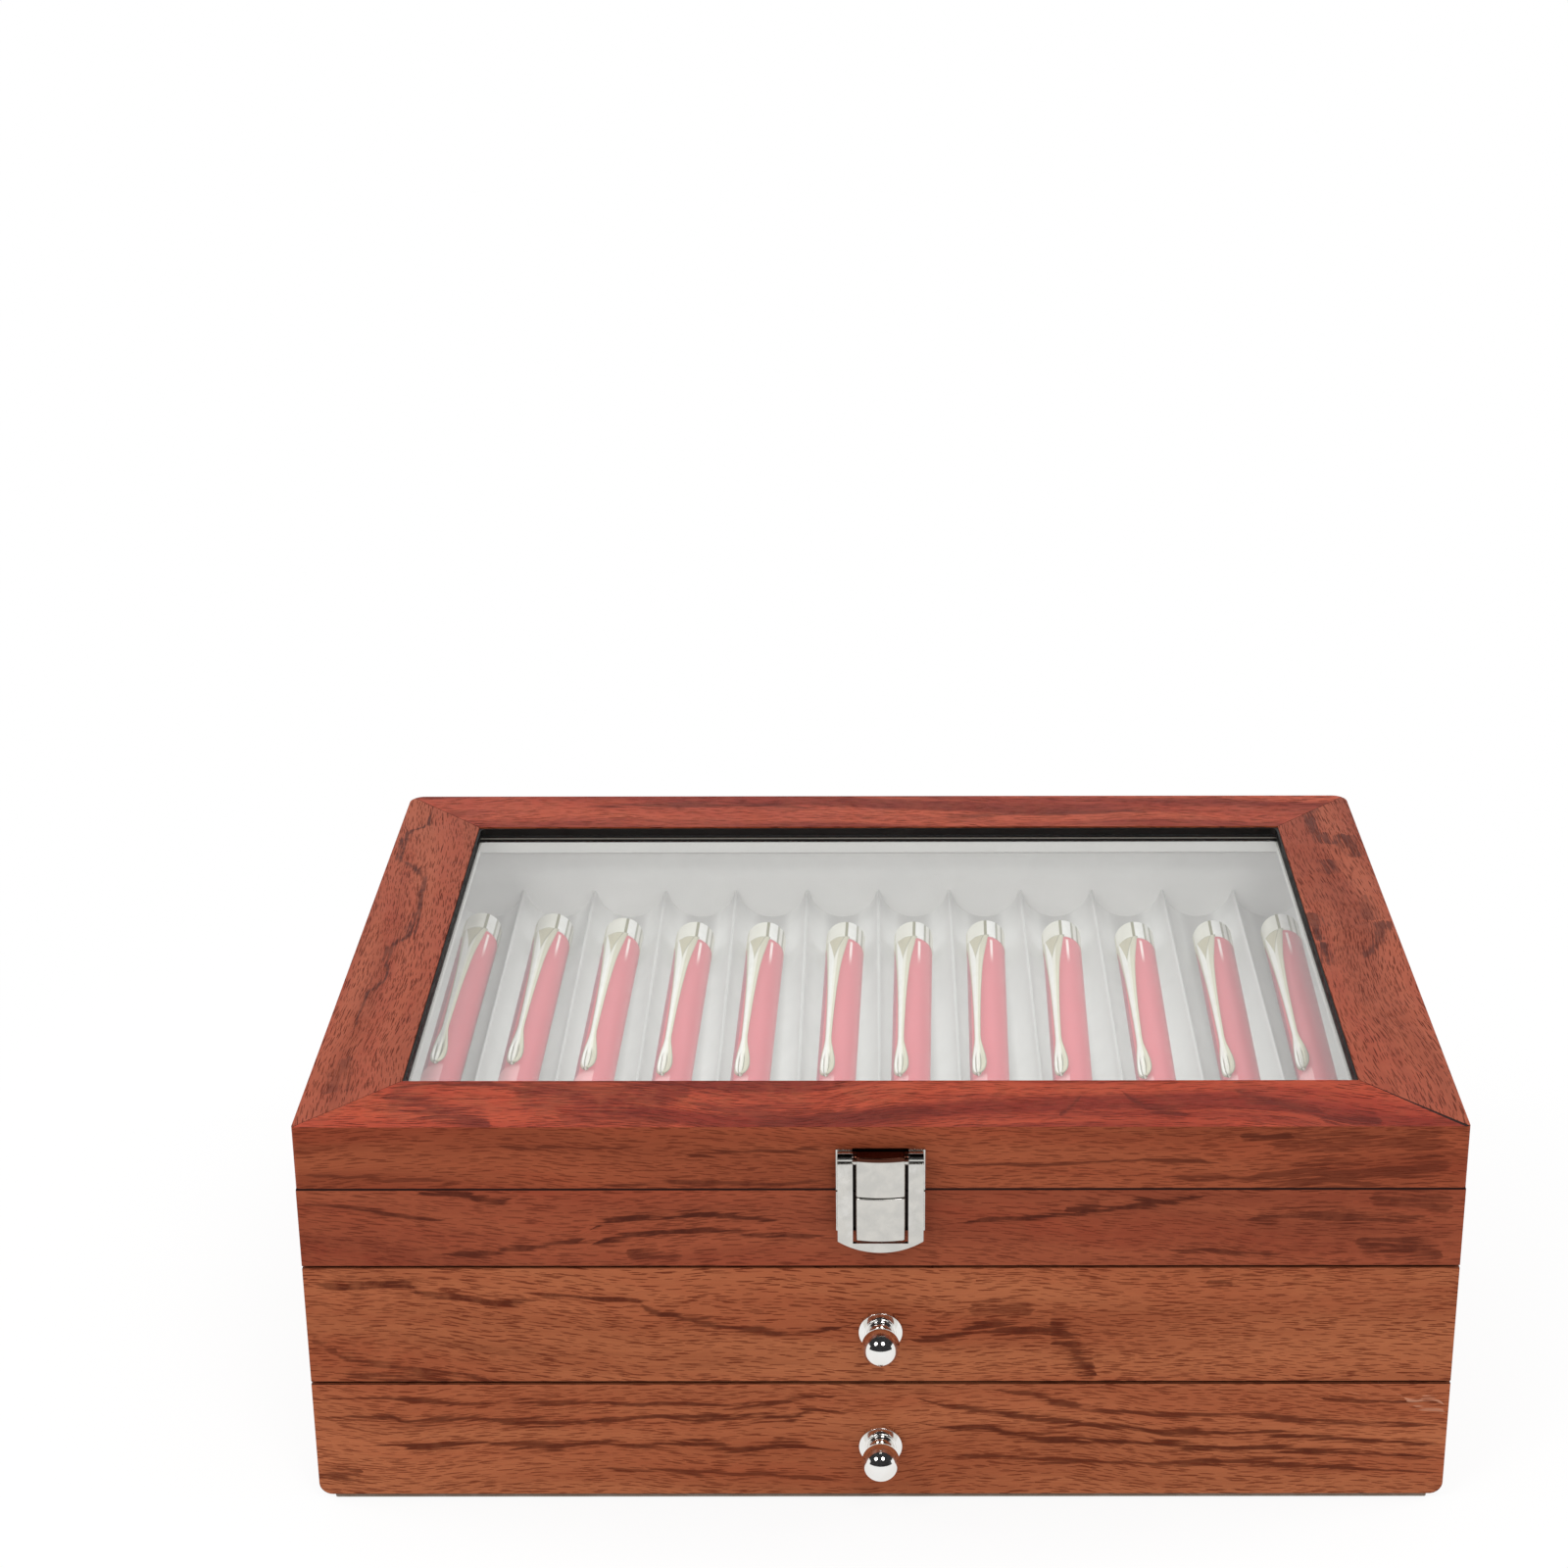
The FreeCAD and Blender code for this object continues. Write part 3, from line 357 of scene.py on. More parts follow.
def build_vein_stroke() -> bpy.types.NodeTree:
    """One dark vein of the veneer, frayed along the grain.

    Returns:
        A group that takes the grain's own coordinates, the Offset from the vein's middle, the Share
        of its length and its half Width, and gives a dark Core and a wider Halo.
    """
    group = PatternGroup("vein_stroke", {
        "Grain": None, "Offset": 0.0, "Share": 0.0, "Width": 0.001,
    }, ("Core", "Halo"))
    graph = group.graph
    given = group.given
    along, level, _ = graph.split(given["Grain"])
    strand = graph.streaky(given["Grain"], (62.0, 980.0, 1.0), 3.0, 0.6)
    plain = graph.line(level, -SLANT, along)
    wobble = graph.noise(graph.vector(graph.times(plain, 95.0), given["Width"], 0.0), 1.0, 2.0)
    swell = graph.noise(graph.vector(graph.times(plain, 42.0), 7.0, level), 1.0, 2.0)
    offset = graph.line(graph.minus(wobble, 0.5), 0.0022, given["Offset"])
    ends = graph.times(graph.spread(given["Share"], 0.0, 0.14),
                       graph.spread(given["Share"], 0.86, 1.0, 1.0, 0.0))
    half = graph.times(graph.times(given["Width"], ends),
                       graph.spread(swell, 0.3, 0.7, 1.1, 3.0))
    reach = graph.math("DIVIDE", graph.size(offset), graph.most(half, 0.00004))
    near = graph.line(reach, -0.56, 0.56)
    core = graph.spread(graph.line(strand, 2.2, near), 1.26, 1.56)
    wide = graph.line(reach, -0.24, 0.62)
    halo = graph.spread(graph.plus(strand, wide), 0.74, 1.22)
    return group.give(Core=core, Halo=graph.times(halo, graph.spread(ends, 0.0, 0.3)))


def build_edge_wear() -> bpy.types.NodeTree:
    """Rubbed outer edges, broken up by a fine noise."""
    group = PatternGroup("edge_wear", {"Place": None, "Amount": 1.0}, ("Mask",))
    graph = group.graph
    corner = graph.node("ShaderNodeNewGeometry").outputs["Pointiness"]
    patchy = graph.noise(group.given["Place"], 160.0, 4.0, 0.6)
    raised = graph.spread(corner, 0.52, 0.60)
    mask = graph.times(raised, graph.spread(patchy, 0.40, 0.65))
    return group.give(Mask=graph.math("MULTIPLY", mask, group.given["Amount"], clamp=True))


def build_fine_marks() -> bpy.types.NodeTree:
    """Smudges, hairline scratches and grain that break up a smooth surface."""
    group = PatternGroup("fine_marks", {"Place": None, "Scale": 1.0}, ("Smudge", "Scratch", "Grit"))
    graph = group.graph
    sized = graph.node("ShaderNodeVectorMath", operation="SCALE")
    graph.feed(sized.inputs[0], group.given["Place"])
    graph.feed(sized.inputs["Scale"], group.given["Scale"])
    place = sized.outputs[0]
    lines = graph.streaky(place, (5200.0, 260.0, 700.0), 2.0)
    return group.give(
        Smudge=graph.spread(graph.noise(place, 130.0, 4.0, 0.6, 0.6), 0.35, 0.70),
        Scratch=graph.spread(lines, 0.66, 0.74), Grit=graph.noise(place, 2600.0, 2.0, 0.6))


VENEER_FIGURE = build_veneer_figure()
VEIN_STROKE = build_vein_stroke()
EDGE_WEAR = build_edge_wear()
FINE_MARKS = build_fine_marks()


# ---------------------------------------------------------------------------
# Finishes
# ---------------------------------------------------------------------------


class Grain(Enum):
    """Which of the frame's axes run along, across and into a board."""

    FRONT = (0, 2, 1)
    TOP_ACROSS = (0, 1, 2)
    TOP_BACKWARD = (1, 0, 2)
    SIDE = (1, 2, 0)


class Paint(Graph):
    """The graph of one material while it is being built, with its Principled BSDF."""

    def __init__(self, name: str) -> None:
        """Make the material."""
        self.material = bpy.data.materials.new(name)
        self.material.use_nodes = True
        super().__init__(self.material.node_tree)
        self.shader = self.tree.nodes["Principled BSDF"]

    def coat(self, colour: object, rough: object, normal: Socket | None = None, **levels: float) -> None:
        """Feed the shader.

        Args:
            colour: Base colour.
            rough: Roughness.
            normal: Normal, if the surface isn't plain.
            **levels: Plain values of other inputs, with an underscore for each blank.
        """
        inputs = self.shader.inputs
        self.feed(inputs["Base Color"], colour)
        self.feed(inputs["Roughness"], rough)
        if normal is not None:
            self.feed(inputs["Normal"], normal)
        for name, level in levels.items():
            inputs[name.replace("_", " ")].default_value = level

    def show_instead(self, share: Socket, other: Socket) -> None:
        """Show another shader for the share of rays that a mask picks."""
        self.blend(share, self.shader.outputs[0], other, "Material Output")

    def let_light_past(self, share: float) -> None:
        """Soften the shadow that a finish throws, by the share of soft light that passes."""
        self.show_instead(self.times(self.soft(), share), self.node("ShaderNodeBsdfTransparent").outputs[0])

    def worn(self, amount: float) -> Socket:
        """Mask of the rubbed edges."""
        return self.pattern(EDGE_WEAR, Place=self.place(), Amount=amount)["Mask"]

    def marks(self, scale: float) -> bpy.types.NodeOutputs:
        """Smudges, scratches and grit, finer as the scale grows."""
        return self.pattern(FINE_MARKS, Place=self.place(), Scale=scale)


@dataclass(frozen=True)
class Finish:
    """A finish that builds one material."""

    name: str

    def material(self) -> Material:
        """Build the material."""
        graph = Paint(self.name)
        self.paint(graph)
        return graph.material

    def paint(self, graph: Paint) -> None:
        """Paint the material; every finish has its own way."""
        raise NotImplementedError


@dataclass(frozen=True)
class Tones:
    """The colours of one kind of veneer."""

    light: Colour
    deep: Colour
    blush: Colour
    vein: Colour
    pore: Colour


DRAWER_TONES = Tones(shade(160, 94, 61), shade(138, 75, 47), shade(144, 70, 44), shade(72, 26, 12),
                     shade(90, 34, 16))
UPPER_TONES = Tones(shade(162, 95, 62), shade(140, 76, 48), shade(145, 71, 45), shade(72, 26, 12),
                    shade(90, 34, 16))
LOW_TONES = Tones(shade(168, 100, 66), shade(148, 81, 52), shade(150, 75, 48), shade(72, 26, 12),
                  shade(94, 37, 18))
BAND_TONES = Tones(shade(147, 77, 50), shade(125, 60, 38), shade(138, 55, 35), shade(64, 24, 14),
                   shade(82, 31, 16))
RAIL_TONES = Tones(shade(145, 75, 50), shade(121, 57, 38), shade(134, 52, 35), shade(62, 23, 14),
                   shade(78, 29, 16))
RED_TONES = Tones(shade(170, 72, 48), shade(120, 40, 28), shade(144, 44, 32), shade(84, 27, 20),
                  shade(80, 25, 16))
BACK_TONES = Tones(shade(170, 79, 57), shade(120, 45, 34), shade(142, 48, 36), shade(76, 27, 21),
                   shade(80, 28, 18))
ORANGE_TONES = Tones(shade(158, 84, 61), shade(135, 65, 46), shade(146, 60, 44), shade(70, 31, 25),
                     shade(80, 30, 18))


@dataclass(frozen=True)
class Stroke:
    """One vein of a board: its path along and across the grain and its half width, in millimetres."""

    path: tuple[Span, ...]
    width: float
    strength: float = 1.0

    def lay(self, graph: Graph, place: Socket, grain: Socket) -> tuple[Socket, Socket]:
        """Lay the vein on a board.

        Args:
            graph: Graph of the board's material.
            place: Place on the board, whose X runs along it.
            grain: The same place bent with the grain.

        Returns:
            The masks of the vein's core and of its halo.
        """
        along, across, _ = graph.split(place)
        start, end = self.path[0][0], self.path[-1][0]
        low = min(level for _, level in self.path) - 1
        high = max(level for _, level in self.path) + 1
        share = graph.math("DIVIDE", graph.minus(along, start * MM), (end - start) * MM)
        line = graph.node("ShaderNodeFloatCurve")
        knots = [((spot - start) / (end - start), (level - low) / (high - low)) for spot, level in self.path]
        curve = line.mapping.curves[0]
        curve.points[0].location, curve.points[-1].location = knots[0], knots[-1]
        for knot in knots[1:-1]:
            curve.points.new(*knot)
        line.mapping.update()
        graph.feed(line.inputs["Value"], share)
        middle = graph.line(line.outputs[0], (high - low) * MM, low * MM)
        laid = graph.pattern(VEIN_STROKE, Grain=grain, Offset=graph.minus(across, middle),
                             Share=share, Width=self.width * MM)
        return (graph.times(laid["Core"], self.strength),
                graph.times(laid["Halo"], self.strength))


@dataclass(frozen=True)
class Veneer(Finish):
    """Lacquered rosewood veneer on one board."""

    tones: Tones
    grain: Grain
    figure: float
    strokes: tuple[Stroke, ...] = ()
    wave: float = 1.0
    streaks: float = 0.7
    pores: float = 1.0
    contrast: float = 1.0
    scuffs: tuple[Stroke, ...] = ()
    joint: float | None = None
    open_mitre: tuple[Span, Span] | None = None
    face: "Veneer | None" = None

    def colours(self, graph: Graph) -> tuple[Socket, Socket, Socket]:
        """Build the board's colour.

        Args:
            graph: Graph of the material.

        Returns:
            The colour, the pore mask and the fibre value.
        """
        axes = graph.split(graph.place())
        place = graph.vector(*(axes[index] for index in self.grain.value))
        figure = graph.pattern(VENEER_FIGURE, Place=place, Figure=self.figure, Wave=self.wave,
                               Streaks=self.streaks, Pores=self.pores)
        grain = graph.vector(figure["Along"], figure["Level"], 0.0)
        core = graph.times(figure["Streak"], 0.6)
        halo = figure["Streak"]
        for stroke in self.strokes:
            dark, soft = stroke.lay(graph, place, grain)
            core = graph.most(core, dark)
            halo = graph.most(halo, soft)
        tone = graph.spread(figure["Tone"], 0.5 - 0.5 / self.contrast, 0.5 + 0.5 / self.contrast)
        colour = graph.mix(tone, self.tones.deep, self.tones.light)
        colour = graph.mix(graph.times(figure["Blush"], 0.5), colour, self.tones.blush)
        colour = graph.dim(colour, graph.spread(figure["Fibre"], 0.0, 1.0, 0.91, 1.07))
        colour = graph.mix(graph.times(halo, 0.44), colour, self.tones.pore)
        colour = graph.mix(graph.times(core, 0.88), colour, self.tones.vein)
        colour = graph.mix(graph.times(figure["Pore"], 0.86), colour, self.tones.pore)
        for scuff in self.scuffs:
            scratched, _ = scuff.lay(graph, place, grain)
            colour = graph.mix(scratched, colour, shade(206, 150, 122))
        return colour, figure["Pore"], figure["Fibre"]

    def stain_and_seam_shade(self, graph: Graph) -> Socket:
        """Mask of the dark places, partly stained edges and partly painted shade: the mitres, the joints' eased
        edges and lines.
        """
        # Painted shade on downward faces, in the seams and in a mitre's open gap, over dark stained edges.
        x, y, z = graph.facing()
        upward = graph.spread(z, 0.2, 0.3)
        level = graph.spread(graph.size(z), 0.94, 0.98, 1.0, 0.35)
        masks = [graph.times(upward, graph.spread(graph.size(graph.times(x, y)), 0.02, 0.06)),
                 graph.times(level, graph.spread(z, -0.30, -0.20, 1.0, 0.0))]
        if self.face is not None:
            masks.append(graph.times(graph.spread(z, 0.25, 0.35), graph.spread(z, 0.94, 0.98, 0.5, 0.0)))
        elif self.grain is Grain.FRONT:
            masks.append(graph.times(level, upward))
        if self.joint is not None:
            away = graph.apart(graph.split(graph.place())[2], self.joint * MM)
            masks.append(graph.between(away, 0.32, 0.45, 1.0, 0.0))
        if self.open_mitre is not None:
            masks.append(graph.times(self.wedge(graph, *self.open_mitre), upward))
        return graph.most(*masks)

    @staticmethod
    def wedge(graph: Graph, inner: Span, outer: Span) -> Socket:
        """Mask of the painted shade in a mitre's open gap, which widens towards its outer end.

        Args:
            graph: Graph of the material.
            inner: Where the mitre starts, to the right and to the back, in millimetres.
            outer: Where it ends.

        Returns:
            The mask.
        """
        spot, back, _ = graph.split(graph.place())
        aside = graph.minus((inner[0] + inner[1]) * MM, graph.plus(spot, back))
        gap = graph.between(spot, inner[0], outer[0], 0.3 * MM, 1.6 * MM)
        opened = graph.between(graph.minus(aside, gap), -0.2, 0.1, 1.0, 0.0)
        return graph.times(opened, graph.between(spot, inner[0], inner[0] + 4))

    def paint(self, graph: Paint) -> None:
        """Veneer the board."""
        colour, pore, fibre = self.colours(graph)
        if self.face is not None:
            upward = graph.spread(graph.facing("Normal")[2], 0.45, 0.75)
            top_colour, top_pore, _ = self.face.colours(graph)
            colour = graph.mix(upward, colour, top_colour)
            pore = graph.plus(graph.times(pore, graph.minus(1.0, upward)),
                              graph.times(top_pore, upward))
        colour = graph.mix(graph.worn(0.3), colour, self.tones.light)
        # Dark stained edges, with painted shade in the seams, under the boards and in a mitre's open gap.
        colour = graph.mix(self.stain_and_seam_shade(graph), colour, shade(38, 16, 12))
        marks = graph.marks(0.35)
        rough = graph.plus(graph.line(marks["Smudge"], 0.08, 0.38),
                           graph.times(pore, 0.15))
        height = graph.minus(graph.times(fibre, 0.25), pore)
        graph.coat(colour, rough, graph.bump(height, 0.00005, 0.5), Specular_IOR_Level=0.06)


@dataclass(frozen=True)
class Flock(Finish):
    """Short-pile flock on card."""

    colour: Colour
    pile: float = 1.0
    # Painted light: lower and upper heights in millimetres, with the colours there, that lighten where shade
    # falls.
    painted_light_by_height: tuple[float, float, Colour, Colour] | None = None
    bands: tuple[tuple[float, Colour], ...] = ()
    soft_edge: float = 0.08

    def paint(self, graph: Paint) -> None:
        """Flock the card, painted lighter by height where shade falls, with painted bands above heights in
        millimetres.
        """
        place = graph.place()
        marks = graph.marks(self.pile)
        brushed = graph.spread(graph.noise(place, 34.0, 3.0, 0.6, 0.8), 0.3, 0.7, 0.97, 1.02)
        pile = graph.spread(marks["Grit"], 0.3, 0.7, 0.96, 1.03)
        level = graph.times(brushed, pile)
        painted_light_colour: object = self.colour
        # Painted light that brightens the flock where shade falls, changing with height.
        if self.painted_light_by_height is not None:
            low, high, below, above = self.painted_light_by_height
            flank = graph.mix(graph.between(graph.split(place)[2], low, high), below, above)
            painted_light_colour = graph.mix(graph.spread(graph.facing("Normal")[2], 0.82, 0.99), flank, self.colour)
        colour = graph.dim(painted_light_colour, level)
        colour = graph.mix(graph.times(graph.worn(0.5), 0.3), colour, shade(206, 204, 200))
        # Painted bands; on the bead one of them is a painted highlight of the glass's edge.
        for start, band_colour in self.bands:
            over = graph.between(graph.split(place)[2], start - self.soft_edge, start + self.soft_edge)
            colour = graph.mix(over, colour, band_colour)
        graph.coat(colour, graph.line(marks["Smudge"], 0.1, 0.85),
                   graph.bump(marks["Grit"], 0.00012, 0.6),
                   Specular_IOR_Level=0.12, Sheen_Weight=0.25, Sheen_Roughness=0.5)


@dataclass(frozen=True)
class Recess:
    """Painted shade behind the latch's blocks and in two slots, and a painted wood reflection under its brow,
    in millimetres.
    """

    block_side: Span = (7.9, 8.4)
    behind: Span = (-124.3, -124.0)
    brow: Span = (119.3, 119.6)
    plate_face: Span = (-125.6, -125.8)
    slots: tuple[Span, ...] = ((120.62, 121.28), (119.05, 119.6))
    slot_soft: float = 0.1
    # Painted reflection of the wood above, on the block under its brow.
    painted_wood_reflection: Colour = shade(78, 44, 33)
    # Painted shade behind the blocks and in the slots.
    dark: Colour = shade(24, 20, 18)

    def darken(self, graph: Graph, colour: Socket) -> Socket:
        """Lay the painted shade and the painted wood reflection over the metal's colour.

        Args:
            graph: Graph of the metal.
            colour: Colour of the metal.

        Returns:
            The colour with its dark places.
        """
        x, y, z = graph.split(graph.place())
        inner = graph.between(graph.size(x), *self.block_side, 1.0, 0.0)
        deep = graph.times(inner, graph.between(y, *self.behind))
        colour = graph.mix(graph.times(inner, graph.between(z, *self.brow)), colour, self.painted_wood_reflection)
        outer = graph.times(graph.minus(1.0, inner), graph.between(y, *self.plate_face))
        for low, high in self.slots:
            line = graph.times(graph.between(z, low - self.slot_soft, low),
                               graph.between(z, high, high + self.slot_soft, 1.0, 0.0))
            deep = graph.most(deep, graph.times(line, outer))
        return graph.mix(deep, colour, self.dark)


@dataclass(frozen=True)
class Metal(Finish):
    """Plated metal with light smudges and hairline scratches, and painted shade where a recess is given."""

    colour: Colour
    rough: float
    smudges: float = 0.06
    tint: Colour = shade(226, 222, 214)
    recess: Recess | None = None

    def paint(self, graph: Paint) -> None:
        """Paint the metal."""
        place = graph.place()
        marks = graph.marks(1.6)
        cloud = graph.spread(graph.noise(place, 220.0, 3.0, 0.5, 0.4), 0.35, 0.7)
        colour = graph.mix(graph.times(cloud, 0.35), self.colour, self.tint)
        colour = graph.mix(graph.times(graph.worn(0.6), 0.5), colour, shade(240, 239, 236))
        # Painted shade in the latch's gaps and a painted wood reflection under its brow.
        if self.recess is not None:
            colour = self.recess.darken(graph, colour)
        rough = graph.plus(graph.line(marks["Smudge"], self.smudges, self.rough),
                           graph.times(marks["Scratch"], 0.06))
        graph.coat(colour, rough, graph.bump(marks["Scratch"], 0.00001, 0.25), Metallic=1.0)


@dataclass(frozen=True)
class PaintedLightStripes:
    """Painted light and shade that run along a pen in bands; each starts at a distance in millimetres from its
    middle.
    """

    edges: tuple[tuple[float, Colour], ...]
    soft: float = 0.12

    def colour(self, graph: Graph, across: Socket) -> Socket:
        """Build the colour with its painted light and shade.

        Args:
            graph: Graph of the material.
            across: Distance from the pen's middle, in millimetres.

        Returns:
            The colour.
        """
        light_and_shade: object = self.edges[0][1]
        for edge, colour in self.edges[1:]:
            light_and_shade = graph.mix(graph.spread(across, edge - self.soft, edge + self.soft), light_and_shade, colour)
        return light_and_shade


@dataclass(frozen=True)
class PenPlate(Finish):
    """Bright silver plate of the pens' bands, with painted reflections on its facets."""

    light_stripes: PaintedLightStripes
    metal: float = 0.25

    def colour(self, graph: Graph) -> Socket:
        """Colour of the band's facets, as painted reflections."""
        return self.light_stripes.colour(graph, graph.split(pen_place(graph))[0])

    def paint(self, graph: Paint) -> None:
        """Paint the plate."""
        cloud = graph.noise(graph.place(), 260.0, 2.0)
        colour = graph.mix(graph.spread(cloud, 0.4, 0.7, 0.0, 0.12), self.colour(graph), shade(206, 201, 178))
        graph.coat(colour, graph.spread(cloud, 0.3, 0.7, 0.36, 0.44), graph.bump(cloud, 0.00001, 0.1),
                   Metallic=self.metal)
        graph.let_light_past(0.75)


@dataclass(frozen=True)
class ClipPlate(PenPlate):
    """The same plate on the clips, with painted reflections and painted shade: a folded facet at the band and
    three lobes at the end.
    """

    # Painted shade in the crease, between the lobes, along the edges and where the clip leaves the band.
    line: Colour = shade(128, 121, 92)
    # Painted reflection on the folded facet.
    facet: Colour = shade(206, 199, 170)
    drop: float = 99.0

    def colour(self, graph: Graph) -> Socket:
        """Colour of the clip's fold, stem and lobes, with painted reflections and painted shade."""
        _, along, share = graph.split(pen_place(graph))
        width = graph.size(share)
        stem = self.light_stripes.colour(graph, share)
        below = graph.minus(along, CLIP_START)
        reach = graph.line(below, -FOLD_SHARE / FOLD_LENGTH, FOLD_SHARE)
        inside = graph.minus(reach, width)
        # Painted reflection on the fold; painted shade in its crease, between the lobes, along the edges and at
        # the band.
        colour = graph.mix(graph.spread(inside, 0.0, 0.05), stem, self.facet)
        crease = graph.times(graph.spread(graph.size(inside), 0.02, 0.07, 0.6, 0.0),
                             graph.spread(share, -0.05, 0.05))
        colour = graph.mix(crease, colour, self.line)
        groove = graph.apart(width, 0.34)
        lobes = graph.times(graph.spread(groove, 0.04, 0.12, 0.8, 0.0),
                            graph.spread(along, self.drop, self.drop + 5))
        colour = graph.mix(lobes, colour, self.line)
        edge = graph.times(graph.spread(width, 0.86, 0.98), graph.spread(along, 26.0, 60.0, 0.25, 0.8))
        colour = graph.mix(edge, colour, self.line)
        return graph.mix(graph.spread(below, 0.5, 0.9, 0.9, 0.0), colour, self.line)


def pen_place(graph: Graph) -> Socket:
    """Place on a pen: across it and along it in millimetres, and the share of the part's width."""
    return graph.node("ShaderNodeAttribute", attribute_name="pen_place").outputs["Vector"]


@dataclass(frozen=True)
class Lacquer(Finish):
    """Glossy coloured lacquer of a pen's barrel, with painted light and shade across it and painted highlights.
    """

    light_stripes: PaintedLightStripes
    deep: Colour
    # Painted highlight on the barrel's left side beyond the clip.
    light: Colour = shade(236, 168, 170)
    bounce: Colour = shade(206, 198, 196)
    beyond: float = 111.0

    def paint(self, graph: Paint) -> None:
        """Paint the lacquer."""
        place = graph.place()
        across, along, _ = graph.split(pen_place(graph))
        cloud = graph.streaky(place, (320.0, 16.0, 320.0), 4.0, 0.6, 0.6)
        # Painted light and shade across the barrel: darker sides and a lighter middle.
        light_and_shade = self.light_stripes.colour(graph, across)
        colour = graph.mix(graph.spread(cloud, 0.35, 0.75, 0.0, 0.3), light_and_shade, self.deep)
        # Painted highlights: a pale strip on the left side beyond the clip, and a glint near the band.
        painted_highlight_strip = graph.times(graph.spread(along, self.beyond, self.beyond + 3),
                            graph.spread(across, -0.6, -0.3, 1.0, 0.0))
        colour = graph.mix(painted_highlight_strip, colour, self.light)
        glint = graph.times(graph.spread(along, 14.0, 15.5), graph.spread(along, 22.0, 34.0, 0.9, 0.0))
        shine = graph.spread(graph.apart(across, 2.3), 0.25, 0.6, 1.0, 0.0)
        colour = graph.mix(graph.times(glint, shine), colour, shade(255, 236, 232))
        colour = graph.mix(graph.rays()["Is Diffuse Ray"], colour, self.bounce)
        marks = graph.marks(0.8)
        graph.coat(colour, graph.line(marks["Smudge"], 0.08, 0.30),
                   graph.bump(marks["Scratch"], 0.00001, 0.15), Specular_IOR_Level=0.14)
        graph.let_light_past(0.85)


@dataclass(frozen=True)
class Board(Finish):
    """Plain unfinished board, as inside the drawers."""

    light: Colour
    dark: Colour
    grain: Grain

    def paint(self, graph: Paint) -> None:
        """Paint the board."""
        axes = graph.split(graph.place())
        place = graph.vector(*(axes[index] for index in self.grain.value))
        figure = graph.pattern(VENEER_FIGURE, Place=place, Figure=3.7, Wave=0.5, Streaks=0.5, Pores=0.5)
        colour = graph.mix(graph.line(figure["Tone"], 0.6, 0.2), self.dark, self.light)
        colour = graph.mix(graph.times(figure["Streak"], 0.5), colour, self.dark)
        colour = graph.mix(graph.times(figure["Pore"], 0.5), colour, self.dark)
        colour = graph.mix(graph.worn(0.4), colour, self.light)
        graph.coat(colour, graph.line(figure["Fibre"], 0.12, 0.58),
                   graph.bump(figure["Fibre"], 0.00006, 0.6), Specular_IOR_Level=0.2)


@dataclass(frozen=True)
class Strip(Finish):
    """Black painted strip round the glass."""

    colour: Colour

    def paint(self, graph: Paint) -> None:
        """Paint the strip."""
        marks = graph.marks(1.0)
        colour = graph.mix(graph.times(marks["Smudge"], 0.4), self.colour, shade(30, 27, 25))
        colour = graph.mix(graph.times(graph.worn(0.6), 0.6), colour, shade(70, 64, 58))
        graph.coat(colour, graph.line(marks["Smudge"], 0.15, 0.50),
                   graph.bump(marks["Grit"], 0.00003, 0.4), Specular_IOR_Level=0.25)


@dataclass(frozen=True)
class Glass(Finish):
    """Clear window glass that lets light through to what lies under it."""

    def paint(self, graph: Paint) -> None:
        """Paint the glass."""
        smudge = graph.marks(0.25)["Smudge"]
        colour = graph.mix(graph.times(smudge, 0.3), shade(252, 253, 253), shade(246, 249, 248))
        graph.coat(colour, graph.times(smudge, 0.015), Transmission_Weight=1.0, IOR=1.5)
        rays = graph.rays()
        mirrored = graph.times(rays["Is Glossy Ray"], graph.minus(1.0, rays["Is Transmission Ray"]))
        clear = graph.node("ShaderNodeBsdfTransparent")
        graph.feed(clear.inputs["Color"], (0.985, 0.99, 0.988))
        graph.show_instead(graph.most(graph.soft(), mirrored), clear.outputs[0])


# ---------------------------------------------------------------------------
# Modelling by hand
# ---------------------------------------------------------------------------


